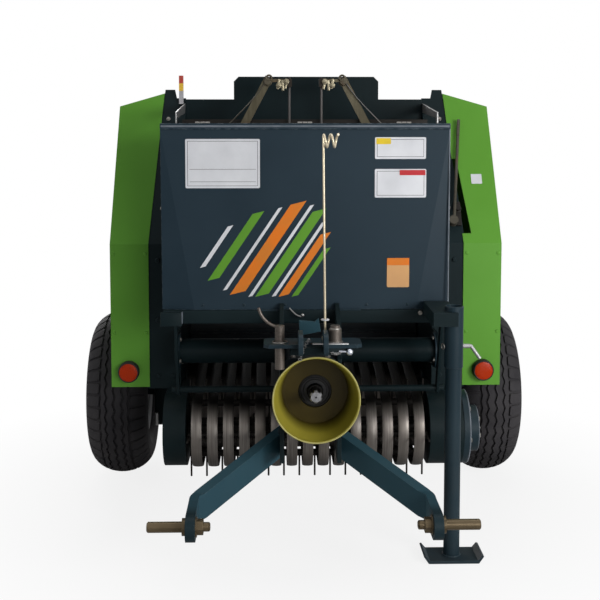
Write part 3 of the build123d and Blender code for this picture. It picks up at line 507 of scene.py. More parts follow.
# base and worn colours, roughness
plastics = {
    # the guard's rim, brighter than its bowl: a painted highlight
    "guardEdge": ((0.34, 0.31, 0.09), (0.42, 0.39, 0.16), 0.4),
    # pale blue-grey for edges, hems and rims of the dark paint: a painted highlight
    "paleEdge": ((0.17, 0.19, 0.22), (0.09, 0.11, 0.13), 0.4),
    "blackPlastic": ((0.008, 0.008, 0.009), (0.016, 0.016, 0.016), 0.5),
    "whitePlate": ((0.66, 0.67, 0.70), (0.58, 0.59, 0.62), 0.38),
    "yellowPlate": ((0.72, 0.52, 0.02), (0.62, 0.45, 0.03), 0.38),
    "redPlate": ((0.47, 0.022, 0.030), (0.44, 0.03, 0.03), 0.38),
    "orangePlate": ((0.70, 0.17, 0.012), (0.58, 0.18, 0.02), 0.38),
    "peachPlate": ((0.62, 0.34, 0.14), (0.55, 0.30, 0.13), 0.38),
    "greenFilm": ((0.105, 0.285, 0.025), (0.095, 0.26, 0.022), 0.36),
    "darkFilm": ((0.010, 0.014, 0.022), (0.02, 0.024, 0.03), 0.36),
}


def makePlastic(name, base, worn, shine):
    # worn patches and a little dust over an even colour
    tree, shader, coords = startMaterial(name)
    grain = useGroup(tree, "grain", coords, Fine=500.0, Wide=12.0)
    dust = useGroup(tree, "dust", coords, Upper=0.05, Low=0.02)
    colour = layered(tree, base, (grain["Patches"], worn), (dust["Mask"], (0.3, 0.27, 0.22)))
    rough = ranged(tree, grain["Patches"], shine - 0.05, shine + 0.1)
    return closeMaterial(name, tree, shader, (colour, rough), grain["Peel"], (0.1, 0.0003))


def byPlace(tree, coords, axis, near, far):
    # 0 where the place along the axis is at near, 1 at far
    return ranged(tree, partOf(tree, coords, axis), 0, 1, near, far)


def makeBandSteel(name):
    # polished where the crop rubs; above and below it a painted shade makes the bands dark and less
    # metallic, where the machine shades them; scratches follow the wrap
    tree, shader, coords = startMaterial(name)
    streaks = useGroup(tree, "brushed", coords, Stretch=(330.0, 7.0, 7.0))["Streaks"]
    grain = useGroup(tree, "grain", coords, Wide=9.0)
    rust = useGroup(tree, "rust", coords, Amount=0.12)
    layers = [(streaks, (0.290, 0.267, 0.247)), (grain["Patches"], (0.165, 0.146, 0.131))]
    above = byPlace(tree, coords, "Z", 0.31, 0.366)
    below = byPlace(tree, coords, "Z", 0.225, 0.160)
    # painted shade: dark towards the top and the bottom of the wrap
    paintedBandShade = maths(tree, "MAXIMUM", above, ranged(tree, below, 0, 0.8))
    layers += [(rust["Mask"], rust["Color"]), (paintedBandShade, (0.005, 0.0045, 0.004))]
    colour = layered(tree, (0.100, 0.088, 0.079), *layers)
    looks = (colour, ranged(tree, streaks, 0.50, 0.37), ranged(tree, paintedBandShade, 0.6, 0.1))
    return closeMaterial(name, tree, shader, looks, streaks, (0.2, 0.0004), 0.12)


def makeGuardPlastic(name):
    # olive at the rim; a painted shade makes it brown and dark towards the closed end, where light
    # does not reach into the bowl
    tree, shader, coords = startMaterial(name)
    grain = useGroup(tree, "grain", coords, Fine=500.0, Wide=12.0)
    frontColour = mixColour(tree, grain["Patches"], (0.245, 0.212, 0.022), (0.282, 0.244, 0.030))
    # painted shade: a dark brown copy of the olive for deep in the bowl
    paintedBowlShade = mixColour(tree, grain["Patches"], (0.030, 0.021, 0.0025), (0.044, 0.032, 0.005))
    colour = mixColour(tree, byPlace(tree, coords, "Y", -0.535, -0.482), frontColour, paintedBowlShade)
    looks = (colour, ranged(tree, grain["Patches"], 0.38, 0.5))
    return closeMaterial(name, tree, shader, looks, grain["Peel"], (0.1, 0.0003), 0.14)


def makeShaftSteel(name):
    # bright end, nearly black and less metallic behind it
    tree, shader, coords = startMaterial(name)
    grain = useGroup(tree, "grain", coords, Wide=60.0)
    black = byPlace(tree, coords, "Y", -0.541, -0.534)
    layers = (grain["Patches"], (0.26, 0.26, 0.27)), (black, (0.006, 0.0055, 0.005))
    colour = layered(tree, (0.15, 0.15, 0.155), *layers)
    looks = (colour, ranged(tree, grain["Patches"], 0.34, 0.46), ranged(tree, black, 0.6, 0.1))
    return closeMaterial(name, tree, shader, looks, grain["Peel"], (0.15, 0.0004), 0.12)


def makeArmTips(name):
    # the lower arms' paint, darkened towards the front ends round the pins by a painted shade
    makePaint(name, *paints["armPaint"])
    tree = bpy.data.materials[name].node_tree
    socket = nodeOf(tree, "BSDF_PRINCIPLED").inputs["Base Color"]
    coords = nodeOf(tree, "TEX_COORD").outputs["Object"]
    # painted shade: darker towards the arms' front ends
    dark = ranged(tree, byPlace(tree, coords, "Y", -0.66, -0.715), 0, 0.8)
    give(tree, socket, mixColour(tree, dark, socket.links[0].from_socket, (0.0045, 0.009, 0.011)))
    return bpy.data.materials[name]


def makeTwineSteel(name):
    # dull arms, and a paler guide wire at their inner ends
    tree, shader, coords = startMaterial(name)
    streaks = useGroup(tree, "brushed", coords, Stretch=(60.0, 60.0, 9.0))["Streaks"]
    rust = useGroup(tree, "rust", coords, Scale=16.0, Amount=0.2)
    layers = (streaks, (0.118, 0.104, 0.068)), (ranged(tree, rust["Mask"], 0, 0.5), rust["Color"])
    arm = layered(tree, (0.066, 0.057, 0.036), *layers)
    apart = maths(tree, "ABSOLUTE", partOf(tree, coords, "X"), 0)
    inner = ranged(tree, apart, 1, 0, 0.066, 0.070)
    low = ranged(tree, partOf(tree, coords, "Z"), 1, 0, 1.334, 1.337)
    wire = mixColour(tree, low, (0.025, 0.020, 0.016), (0.085, 0.080, 0.078))
    looks = (mixColour(tree, inner, arm, wire), ranged(tree, streaks, 0.55, 0.4), 0.35)
    return closeMaterial(name, tree, shader, looks, streaks, (0.15, 0.0004), 0.15)


def makeRubber(name):
    # dull and near black, with a fine grain and dust low down
    tree, shader, coords = startMaterial(name)
    grain = useGroup(tree, "grain", coords, Fine=260.0, Wide=7.0)
    dust = useGroup(tree, "dust", coords, Upper=0.03, Low=0.05)
    layers = (grain["Patches"], (0.039, 0.037, 0.0405)), (dust["Mask"], (0.20, 0.17, 0.13))
    colour = layered(tree, (0.022, 0.021, 0.0235), *layers)
    looks = (colour, ranged(tree, grain["Peel"], 0.6, 0.82))
    return closeMaterial(name, tree, shader, looks, grain["Peel"], (0.35, 0.0006), 0.1)


def makeLens(name):
    # rings of small prisms under a clear orange-red cover
    tree, shader, coords = startMaterial(name)
    grain = useGroup(tree, "grain", coords, Wide=40.0)
    cells = addNode(tree, "TexVoronoi", {"Vector": coords, "Scale": 260.0}).outputs["Distance"]
    layers = (cells, (0.27, 0.016, 0.001)), (grain["Patches"], (0.37, 0.026, 0.001))
    colour = layered(tree, (0.46, 0.031, 0.001), *layers)
    return closeMaterial(name, tree, shader, (colour, 0.25), cells, (0.5, 0.001), 0.12)


# pale grey, yellow and red: share of the height at which each begins, and its colour
markerBands = (
    (0, (0.42, 0.42, 0.45, 1)),
    (0.46, (0.80, 0.50, 0.03, 1)),
    (0.73, (0.46, 0.035, 0.02, 1)),
)


def makeMarker(name):
    # bands by height, with grime over them
    tree, shader, coords = startMaterial(name)
    low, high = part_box("level_indicator")
    ramp = addNode(tree, "ValToRGB", {0: byPlace(tree, coords, "Z", low.z, high.z)})
    ramp.color_ramp.interpolation = "CONSTANT"
    steps = ramp.color_ramp.elements
    steps.remove(steps[1])
    for start, colour in markerBands:
        step = steps.new(start) if start else steps[0]
        step.color = colour
    grain = useGroup(tree, "grain", coords, Wide=60.0)
    grime = ranged(tree, grain["Patches"], 0, 0.25)
    colour = mixColour(tree, grime, ramp.outputs[0], (0.2, 0.16, 0.12))
    return closeMaterial(name, tree, shader, (colour, 0.4), grain["Peel"], (0.1, 0.0003), 0.5)


special = {
    "tyreRubber": makeRubber,
    "lampLens": makeLens,
    "markerBands": makeMarker,
    "bandSteel": makeBandSteel,
    "guardPlastic": makeGuardPlastic,
    "shaftSteel": makeShaftSteel,
    "armTipPaint": makeArmTips,
    "twineSteel": makeTwineSteel,
}
materials = {name: makePaint(name, *look) for name, look in paints.items()}
materials |= {name: makeMetal(name, *look) for name, look in metals.items()}
materials |= {name: makePlastic(name, *look) for name, look in plastics.items()}
materials |= {name: make(name) for name, make in special.items()}
print("materials:", len(materials))


# the finish of the solid pieces whose names start so; any other gets the frame's paint, the darker
# copy of bodyPaint that paints shade on the recessed parts

finishes = {
    "boxPaint": "front_cover",
    "greenPaint": "side_cover",
    "armTipPaint": "lower_arm",
    "rollerPaint": "roller_",
    "rimPaint": "rim_",
    "ironPaint": "gearbox",
    "bodyPaint": "cam_housing jack_sleeve jack_leg hitch_head",
    "yellowZinc": "hitch_pins",
    "bareSteel": "head_pins",
    "brightSteel": "hose_holder box_stays jack_lock_pin",
    "bandSteel": "pickup_bands",
    "darkSteel": "pickup_reel twine_rail",
    "shaftSteel": "pto_shaft",
    "guardPlastic": "pto_guard",
    "twineSteel": "twine_arm",
    "oldSteel": "valve_lever",
    "blackPlastic": "lamps",
    "markerBands": "level_indicator",
    "hardChrome": "rod_",
    "tyreRubber": "tyre_",
}


def dressSolids():
    # the first start that fits a solid's name gives its finish
    starts = {start: finish for finish, names in finishes.items() for start in names.split()}
    for name, node in nodes.items():
        found = [finish for start, finish in starts.items() if name.startswith(start)]
        node.data.materials.clear()
        node.data.materials.append(materials[found[0] if found else "framePaint"])


dressSolids()


# fastenings: sizes in metres, each standing on z = 0 and facing +z

leftRight = (("left", -1), ("right", 1))
signs = (-1, 1)


def hexBolt(size, head=0.65):
    # a washer, then a six-sided head with a turned bevel and a low dome on top
    half, tall, base = size * 0.85, size * head, size * 0.16
    washer = [(size * 1.15, 0), (size * 1.15, base * 0.7), (size * 1.08, base)]
    body = [(half, base), (half, base + tall * 0.8), (half * 0.9, base + tall)]
    top = [(half * 0.3, base + tall * 1.02)]
    return joined(strip(turned(washer, 20)), strip(hexagon(body + top)))


def threadedStud(size, length):
    # the thread's ridges: the radius goes up and down along the stud
    pitch = size * 0.16
    steps = np.arange(2 * int(length / pitch) + 1)
    radius = np.append(size / 2 - (steps % 2) * pitch * 0.45, size * 0.36)
    height = steps * pitch / 2
    height = np.append(height, height[-1] + pitch * 0.6)
    return strip(turned(np.column_stack([radius, height]), 14))


def nutOnStud(size, stud):
    # a nut with a threaded stud standing out of it, stud times the size long
    return joined(hexBolt(size, 0.8), threadedStud(size, size * stud))


def domeProfile(radius, tall, steps=6, share=0.97):
    # the radius follows the cosine and the height the sine of one quarter turn
    t = np.linspace(0, share, steps) * math.pi / 2
    return np.column_stack([radius * np.cos(t), tall * np.sin(t)])


def domeHead(radius, tall):
    # a low cap turned from the dome's profile
    return strip(turned(domeProfile(radius, tall), 16))


def ball(radius, sides, origin):
    # half a turn of the profile from pole to pole
    t = np.linspace(0.03, 0.97, 13) * math.pi
    return lathed(np.column_stack([radius * np.sin(t), -radius * np.cos(t)]), sides, origin)


def ringBar(radius, thick, sides=28, facets=8):
    # a bar bent round a full circle in the xy plane
    turn = np.arange(sides) * fullTurn / sides
    lean = np.arange(facets) * fullTurn / facets
    reach = radius + thick * np.cos(lean)[None]
    height = np.broadcast_to(thick * np.sin(lean)[None], (sides, facets))
    rows = [reach * np.cos(turn)[:, None], reach * np.sin(turn)[:, None], height]
    return strip(np.stack(rows, -1), loop=True)


def weldBead(path, radius, side=up):
    # a pipe whose radius ripples along its run like laid weld drops
    path = np.asarray(path, float)
    length = np.linalg.norm(np.diff(path, axis=0), axis=1).sum()
    steps = max(int(length / (radius * 0.7)), 4)
    t = np.linspace(0, len(path) - 1, steps)
    line = np.stack([np.interp(t, np.arange(len(path)), path[:, k]) for k in range(3)], -1)
    ripple = radius * (1 + 0.16 * np.sin(np.arange(steps) * 2.1))
    ripple[[0, -1]] *= 0.4
    return pipe(line, ripple, 8, side)


def tilted(shape, degrees):
    # the shape is turned about its own y axis
    points, corners, sizes = shape
    c, s = math.cos(math.radians(degrees)), math.sin(math.radians(degrees))
    return points @ np.array([(c, 0, -s), (0, 1, 0), (s, 0, c)]), corners, sizes


def bar(low, high, bevel=0.0015):
    # a box with its upright edges rounded and its top edge bevelled
    low, high = np.minimum(low, high), np.maximum(low, high)
    size = high - low
    radius = min(bevel, size[:2].min() * 0.3)
    outline = roundedOutline(size[0], size[1], radius, 3) + (low[:2] + high[:2]) / 2
    return moved(slab(outline, size[2], radius * 0.7), (0, 0, low[2]))


def circlePlaces(count, radius, start):
    # flat places evenly spaced round a circle
    turn = np.arange(count) * fullTurn / count + start
    return radius * np.column_stack([np.cos(turn), np.sin(turn)])


def atX(x, places):
    # flat places (y, z) all set at one x
    return np.column_stack([np.full(len(places), x), places])


def middleOf(name):
    # half way between the box's low and high corners
    low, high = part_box(name)
    return (low + high) / 2


# tyres: tread section, and the pattern round it; x and depths in metres

tyre = {
    "pitches": 40,  # shoulder blocks round the tread
    "depth": 0.0078,
    "zigzag": 0.0036,
    "widest": 0.205,  # radius at which the flank bulges most
    "beadX": 0.0685,
    # place across, sunk, swaying with the zigzag, cut by the gaps between blocks
    "columns": [
        (0.0025, 1, 1, 0),
        (0.0040, 0, 1, 0),
        (0.0135, 0, 1, 0),
        (0.0230, 0, 1, 0),
        (0.0245, 1, 1, 0),
        (0.0290, 1, 1, 0),
        (0.0305, 0, 1, 0),
        (0.0370, 0, 0.8, 0),
        (0.0430, 0, 0.6, 0),
        (0.0445, 1, 0.5, 0),
        (0.0490, 1, 0.3, 0),
        (0.0508, 0, 0.2, 1.3),
        (0.0560, 0, 0, 1),
        (0.0680, 0, 0, 1),
        (0.0800, 0, 0, 1),
        (0.0900, 0, 0, 0.8),
        (0.0960, 0, 0, 0),
    ],
    # place within one pitch, cut by the gap, cut only where the blocks' corners are rounded
    "rows": [(0, 0, 0), (0.17, 0, 0), (0.34, 0, 0), (0.5, 0, 0), (0.62, 0, 0), (0.71, 0, 1)]
    + [(0.76, 1, 1), (0.88, 1, 1), (0.93, 0, 1)],
    "ribs": ((0.188, 0.003), (0.222, 0.002)),  # radius and half width of the flank's ribs
    "ribTall": 0.0011,
    "flankIn": 0.0012,  # the flank stays this far inside the full width
}


def flankWidth(radius, half, crown, bead):
    # half ellipses above and below the widest place: x shrinks with the root of 1 minus the square
    widest, beadX = tyre["widest"], tyre["beadX"]
    above = np.clip((radius - widest) / (crown - widest), 0, 1)
    below = np.clip((widest - radius) / (widest - bead), 0, 1)
    lower = beadX + (half - beadX) * np.sqrt(1 - below**2.4)
    return np.where(radius >= widest, half * np.sqrt(1 - above**2), lower)


def tyreShape(centre, half, crown, bead):
    # columns run across from bead to bead, rows round the wheel; the grooves sway as triangle waves
    side, row = np.array(tyre["columns"]), np.array(tyre["rows"])
    widest, pitches = tyre["widest"], tyre["pitches"]
    x = np.concatenate([-side[::-1, 0], side[:, 0]])
    sunk, sway, cut = (np.concatenate([side[::-1, k], side[:, k]]) for k in (1, 2, 3))
    phase = (np.arange(pitches)[:, None] + row[None, :, 0]).ravel()
    gapped, rounded = (np.tile(row[:, k], pitches)[:, None] for k in (1, 2))
    angle = phase * fullTurn / pitches
    swing = tyre["zigzag"] * (2 * np.abs(2 * np.mod(phase, 1) - 1) - 1)
    laid = x[None] + sway[None] * swing[:, None]
    between = np.where(cut[None] > 1, rounded, np.minimum(cut, 1)[None] * gapped)
    depth = tyre["depth"] * np.maximum(sunk[None], 0.85 * between)
    surface = widest + (crown - widest) * np.sqrt(np.clip(1 - (laid / half) ** 2, 0, 1))
    tread = np.stack([laid, surface - depth], -1)
    edge = widest + (crown - widest) * math.sqrt(1 - (side[-1, 0] / half) ** 2)
    radius = np.linspace(edge, bead, 18)[1:]
    ribs = sum(np.abs(radius - place) < reach for place, reach in tyre["ribs"])
    width = flankWidth(radius, half, crown, bead) - tyre["flankIn"] + tyre["ribTall"] * ribs
    flank = np.stack([width, radius], -1)
    right = np.broadcast_to(flank[None], (len(angle), len(flank), 2))
    outline = np.concatenate([right[:, ::-1] * (-1, 1), tread, right], 1)
    out, reach = outline[..., 0], outline[..., 1]
    rows = [out, reach * np.cos(angle)[:, None], reach * np.sin(angle)[:, None]]
    return moved(strip(np.stack(rows, -1), loop=True), centre)


wheel = {
    "beadIn": 0.005,  # the bead sits this far inside the rim's edge
    "discOut": -0.0285,
    "hubOut": 0.0215,
    "nuts": (5, 0.07, 0.3),  # count, circle's radius, first angle
    "nutSize": 0.014,
    "cap": [(0.036, 0), (0.036, 0.012), (0.031, 0.016), (0.03, 0.045), (0.026, 0.05), (0.012, 0.052)],
    "valve": [(0.006, 0), (0.005, 0.012), (0.0035, 0.014), (0.0035, 0.03)]
    + [(0.0045, 0.031), (0.0045, 0.042), (0.003, 0.043)],
    "valveOut": 0.045,
    "valveAt": (0.118, 1.1),  # radius, angle
}


def buildWheels():
    for side, sign in leftRight:
        body = "wheel_" + side
        low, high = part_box("tyre_" + side)
        rimLow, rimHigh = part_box("rim_" + side)
        centre, facing = np.array((low + high) / 2), (sign, 0, 0)
        bead = (rimHigh.z - rimLow.z) / 2 - wheel["beadIn"]
        shape = tyreShape(centre, (high.x - low.x) / 2, (high.z - low.z) / 2, bead)
        addPiece("tyreTread_" + side, [shape], "tyreRubber", body, smooth=26, stands=["tyre_" + side])
        places = centre + atX(sign * wheel["discOut"], circlePlaces(*wheel["nuts"]))
        nuts = copies(nutOnStud(wheel["nutSize"], 1.3), places, facing)
        addPiece("wheelNuts_" + side, [nuts], "yellowZinc", body)
        hub = centre + (sign * wheel["hubOut"], 0, 0)
        addPiece("hubCap_" + side, [lathed(wheel["cap"], 32, hub, facing)], "rimPaint", body)
        reach, angle = wheel["valveAt"]
        place = (sign * wheel["valveOut"], reach * math.cos(angle), reach * math.sin(angle))
        valve = lathed(wheel["valve"], 12, centre + place, facing)
        addPiece("tyreValve_" + side, [valve], "blackPlastic", body)


buildWheels()
print("wheels done")


# green covers and lamps

lamp = {"inset": 0.0335, "lens": (0.0295, 0.0045), "rim": (0.0302, 0.0022), "off": 0.0002}
coverBolts = [(0.508, 0.56), (0.508, 0.812), (0.608, 0.56), (0.608, 0.812)]  # x, z
coverHead = (0.0055, 0.0022)  # radius, height


def buildCovers():
    low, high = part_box("lamps")
    dome = domeProfile(*lamp["lens"], 9, 0.98) + (0, lamp["off"])
    for side, sign in leftRight:
        place = (sign * (high.x - lamp["inset"]), low.y, (low.z + high.z) / 2)
        addPiece("lampLens_" + side, [lathed(dome, 40, place, forward)], "lampLens", smooth=50)
        rim = placed(ringBar(*lamp["rim"], 40), place, forward)
        addPiece("lampRim_" + side, [rim], "blackPlastic")
        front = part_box("side_cover_" + side)[0].y
        spots = [(sign * x, front, z) for x, z in coverBolts]
        heads = copies(domeHead(*coverHead), spots, forward)
        addPiece("coverBolts_" + side, [heads], "greenPaint")


# the slope of the posts and of the covers above the kink, and what is bolted to them; x, z

slope = {"rise": math.radians(31.5), "kinkZ": 0.842, "postY": -0.0645, "coverY": -0.0678}
slopeFacing = (0, -math.cos(slope["rise"]), math.sin(slope["rise"]))
slopeAxes = (1, 0, 0), (0, slopeFacing[2], -slopeFacing[1])
postFittings = {
    "sloped": [(0.455, 1.236), (0.457, 1.05), (0.460, 0.95)],
    "upright": [(0.47, 0.79), (0.47, 0.42), (0.425, 0.42), (0.47, 0.60)],
    "tag": (0.559, 1.040),
    "latch": (0.488, 0.93),
    "latchBoltUp": 0.018,  # above the plate's middle
    "sizes": (0.0062, 0.0075, 0.011),  # of the sloped, the upright and the latch's bolts
    "tagShape": (0.035, 0.036, 0.002),
    "latchShape": (0.020, 0.085, 0.004),
    "thick": (0.0008, 0.006),  # tag, latch plate
}


def slopeY(z, start="postY"):
    return slope[start] + (z - slope["kinkZ"]) * math.tan(slope["rise"])


def buildPostFittings():
    sloped = [(sign * x, slopeY(z), z) for sign in signs for x, z in postFittings["sloped"]]
    flat = [(sign * x, slope["postY"], z) for sign in signs for x, z in postFittings["upright"]]
    size, lowSize, latchSize = postFittings["sizes"]
    tagThick, thick = postFittings["thick"]
    addPiece("postBolts", [copies(hexBolt(size), sloped, slopeFacing)], "zincSteel")
    addPiece("postBoltsLow", [copies(hexBolt(lowSize), flat, forward)], "framePaint")
    x, z = postFittings["tag"]
    tag = slab(roundedOutline(*postFittings["tagShape"]), tagThick)
    addPiece("whiteTag", [onFace(tag, (x, slopeY(z, "coverY"), z), *slopeAxes)], "whitePlate")
    # a rusty latch plate and its bolt inside the window of the right cover
    x, z = postFittings["latch"]
    latch = slab(roundedOutline(*postFittings["latchShape"]), thick, 0.001)
    boltZ = z + postFittings["latchBoltUp"]
    bolt = placed(hexBolt(latchSize), (x, slopeY(boltZ) - thick, boltZ), slopeFacing)
    addPiece("latchPlate", [onFace(latch, (x, slopeY(z), z), *slopeAxes), bolt], "darkSteel")


buildCovers()
buildPostFittings()
print("covers and posts done")


# front cover: blank plates as left, right, foot and top, in metres on its flat front

coverPlates = {
    "thickness": 0.0009,
    "ink": 0.0002,
    "white": [
        (-0.358, -0.143, 1.034, 1.176),
        (0.190, 0.338, 1.118, 1.181),
        (0.190, 0.3395, 1.006, 1.089),
    ],
    "yellow": [(0.194, 0.236, 1.161, 1.178)],
    "red": [(0.262, 0.337, 1.071, 1.086)],
    "peach": [(0.227, 0.292, 0.743, 0.829)],
    "orange": [(0.227, 0.292, 0.808, 0.829)],
    "onTop": ("yellow", "red", "orange"),  # these lie on the plates below them
    "border": (0.006, 0.0011),  # inset and width of the printed lines
    "lines": (1.052, 1.088),
    "lineInset": 0.012,
    "lineWide": 0.001,
}

# slanted stripes: x and z of the foot, width, length and finish; all lean the same way
stripes = {
    "lean": math.radians(34),
    "thick": 0.0005,
    "bars": [
        (-0.318, 0.802, 0.016, 0.145, "whitePlate"),
        (-0.296, 0.764, 0.034, 0.235, "greenFilm"),
        (-0.252, 0.735, 0.012, 0.290, "whitePlate"),
        (-0.232, 0.722, 0.046, 0.318, "orangePlate"),
        (-0.178, 0.716, 0.012, 0.322, "whitePlate"),
        (-0.158, 0.716, 0.040, 0.300, "greenFilm"),
        (-0.110, 0.716, 0.012, 0.262, "whitePlate"),
        (-0.090, 0.716, 0.030, 0.220, "orangePlate"),
        (-0.052, 0.716, 0.020, 0.168, "greenFilm"),
    ],
}

# the hem is a bead along the lip; rolls run above and below it, a thin edge down the right end; the
# hem and the right end's edge are pale, a painted highlight
trim = {
    "flat": 0.006,  # the flat front stands this far behind the hem
    "lip": 0.016,
    "inset": 0.003,
    "knuckle": [(0.0026, -0.0066), (0.0032, -0.006), (0.0032, 0.006), (0.0026, 0.0066)],
    "hinges": (-0.308, -0.013, 0.274),
    "parts": (-0.0145, 0.0, 0.0145),
    "rivetZ": 0.692,
}


def onCover(outline, lift, thickness):
    # an outline given as (x, z) is laid on the cover's front plane
    return facingFront(slab(outline, thickness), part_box("front_cover")[0].y + trim["flat"] - lift)


def plateOutline(left, right, foot, top, radius):
    # a rounded rectangle carried to its middle
    middle = ((left + right) / 2, (foot + top) / 2)
    return roundedOutline(right - left, top - foot, radius) + middle


def rectangle(left, right, foot, top):
    # the four corners, from the left foot round by the right
    return [(left, foot), (right, foot), (right, top), (left, top)]


def frameLines(left, right, foot, top, inset, wide):
    # four thin bars form a printed border
    a, b, c, d = left + inset, right - inset, foot + inset, top - inset
    level = [rectangle(a, b, c, c + wide), rectangle(a, b, d - wide, d)]
    upright = [(a, a + wide), (b - wide, b)]
    return level + [rectangle(*ends, c + wide, d - wide) for ends in upright]


def buildCoverPlates():
    thick, ink = coverPlates["thickness"], coverPlates["ink"]
    for colour in ("white", "yellow", "red", "peach", "orange"):
        lift, radius = (thick, 0.001) if colour in coverPlates["onTop"] else (0, 0.004)
        outlines = [plateOutline(*place, radius) for place in coverPlates[colour]]
        shapes = [onCover(outline, lift, thick) for outline in outlines]
        addPiece(colour + "Plates", shapes, colour + "Plate")
    border, inset, wide = coverPlates["border"], coverPlates["lineInset"], coverPlates["lineWide"]
    lines = [line for place in coverPlates["white"] for line in frameLines(*place, *border)]
    left, right = coverPlates["white"][0][:2]
    lines += [rectangle(left + inset, right - inset, z, z + wide) for z in coverPlates["lines"]]
    addPiece("plateLines", [onCover(line, thick, ink) for line in lines], "darkFilm")


def buildStripes():
    byColour = {}
    for x, z, wide, length, colour in stripes["bars"]:
        rise, run = length * math.cos(stripes["lean"]), length * math.sin(stripes["lean"])
        # each end is cut back on one corner so that the bar ends in a soft point
        cut = np.array((wide, wide * 0.25))
        foot, head = np.array((x, z)), np.array((x + run, z + rise))
        outline = np.array([foot, foot + cut, head + cut, head])
        byColour.setdefault(colour, []).append(onCover(outline, 0, stripes["thick"]))
    for colour, shapes in byColour.items():
        addPiece("stripes_" + colour, shapes, colour)


def buildCoverTrim():
    low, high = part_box("front_cover")
    front, top = low.y, high.z
    left, right = low.x + trim["inset"], high.x - trim["inset"]
    lipLow = top - trim["lip"]

    def level(z, off, radius, sides):
        return pipe([(left, front + off, z), (right, front + off, z)], radius, sides)

    # painted highlight: the pale hem along the lid's top edge
    addPiece("coverHem", [level(top - 0.0085, 0.0012, 0.0034, 12)], "paleEdge")
    rolls = [level(z, 0.0015, 0.0016, 8) for z in (lipLow, top - 0.0015)]
    addPiece("coverRolls", rolls, "boxPaint")
    # painted highlight: a pale line down the cover's right edge
    edge = [(high.x - 0.001, front + 0.0075, z) for z in (0.70, lipLow)]
    addPiece("coverEdgeRight", [pipe(edge, 0.0022, 8, (0, 1, 0))], "paleEdge")
    hinges = [x + part for x in trim["hinges"] for part in trim["parts"]]
    places = [(x, front + 0.010, top + 0.0012) for x in hinges]
    knuckles = [lathed(trim["knuckle"], 16, place, (1, 0, 0)) for place in places]
    addPiece("lidHinges", knuckles, "zincSteel")
    rivets = np.linspace(low.x + 0.12, high.x - 0.12, 6)
    spots = [(x, front + trim["flat"], trim["rivetZ"]) for x in rivets]
    addPiece("coverRivets", [copies(domeHead(0.0045, 0.002), spots, forward)], "bodyPaint")


buildCoverTrim()
buildCoverPlates()
buildStripes()
print("front cover done")


# twine arms: eye bolts, clamps and braces; places in metres from the middle of the machine

twine = {
    "tip": (0.118, 1.369),
    "pivot": (0.207, 1.200),
    "y": 0.0605,
    "clampX": 0.074,
    "clampPlate": ((-0.0042, -0.011, -0.017), (0.0042, 0.009, 0.015)),
    "plates": ((-0.013, -0.002, 10), (0.0, -0.006, -4), (0.012, -0.001, 14)),  # x, z, lean
    "nuts": ((-0.012, -0.014), (0.012, -0.026)),  # x from the clamp, z from the tip
    "nut": (0.008, 1.6),  # size, stud's length in sizes
    "pivotNut": (0.011, 1.1),
    "boss": 0.013,
    "eye": (0.0085, 0.0032),
    "wire": 0.0018,
    "brace": ((0.120, -0.009, 1.365), (0.170, -0.012, 1.299), (0.247, -0.010, 1.219)),
}


def buildTwineArms():
    y, (tipX, tipZ), (pivotX, pivotZ) = twine["y"], twine["tip"], twine["pivot"]
    for side, sign in leftRight:
        body = "twine_arm_" + side
        eye = placed(ringBar(*twine["eye"]), (sign * tipX, y - 0.012, tipZ - 0.002), forward)
        bossAt = (sign * (tipX + 0.004), y - 0.004, tipZ - 0.014)
        boss = placed(hexBolt(twine["boss"]), bossAt, forward)
        addPiece("twineEye_" + side, [eye, boss], "armSteel", body)
        clampX, clamp = sign * twine["clampX"], []
        for dx, dz, lean in twine["plates"]:
            plate = tilted(bar(*twine["clampPlate"]), lean)
            clamp.append(moved(plate, (clampX + dx, y - 0.003, tipZ - 0.019 + dz)))
        for dx, dz in twine["nuts"]:
            place = (clampX + sign * dx, y - 0.014, tipZ + dz)
            clamp.append(placed(nutOnStud(*twine["nut"]), place, forward))
        addPiece("twineClamp_" + side, clamp, "paleZinc", body)
        brace = curved([(sign * x, y + dy, z) for x, dy, z in twine["brace"]], 8)
        steel = "oldSteel" if sign < 0 else "wireSteel"
        addPiece("twineBrace_" + side, [pipe(brace, twine["wire"], 8)], steel, body, 50)
        pivot = placed(nutOnStud(*twine["pivotNut"]), (sign * pivotX, y - 0.010, pivotZ), forward)
        addPiece("twinePivot_" + side, [pivot], "zincSteel")


buildTwineArms()
print("twine arms done")


# hose hook: a leaning rod whose top is a level coil

hook = {
    "foot": (0.036, -0.5475, 0.636),
    "lean": -0.011,
    "top": 1.191,
    "coil": 0.017,
    "pitch": 0.020,
    "bar": 0.0031,
    "collar": [(0.009, 0), (0.009, 0.009), (0.006, 0.012)],
    "clip": (0.0095, 0.0022),
    "clipZ": 0.690,
}


def buildHoseHook():
    # a straight leaning rod, then a helix about a level axis that starts at its top
    x, y, foot = hook["foot"]
    coil, top = hook["coil"], hook["top"]
    rise = top - foot
    topX = x + hook["lean"] * rise
    t = np.linspace(0, 2, 49)
    turn = fullTurn * t
    helix = [topX + hook["pitch"] * t, y - coil * np.sin(turn), top - coil * (1 - np.cos(turn))]
    shaft = np.linspace(0, 1, 24)[:, None] * (topX - x, 0, rise - 0.012) + (x, y, foot)
    bend = [(topX, y + 0.0012, top - 0.006), (topX + 0.0005, y + 0.001, top - 0.002)]
    path = np.concatenate([shaft, bend, np.column_stack(helix)[1:]])
    rod = pipe(path, hook["bar"], 12, (0, 1, 0.02))
    collar = lathed(hook["collar"], 20, (x, y, foot - 0.001))
    addPiece("hoseHook", [rod, collar], "creamZinc", smooth=50, stands=["hose_holder"])
    clip = placed(ringBar(*hook["clip"]), (x - 0.0005, y, hook["clipZ"]))
    addPiece("hookClip", [clip], "whitePlate")


# hitch: pin threads, latch, chains and collars

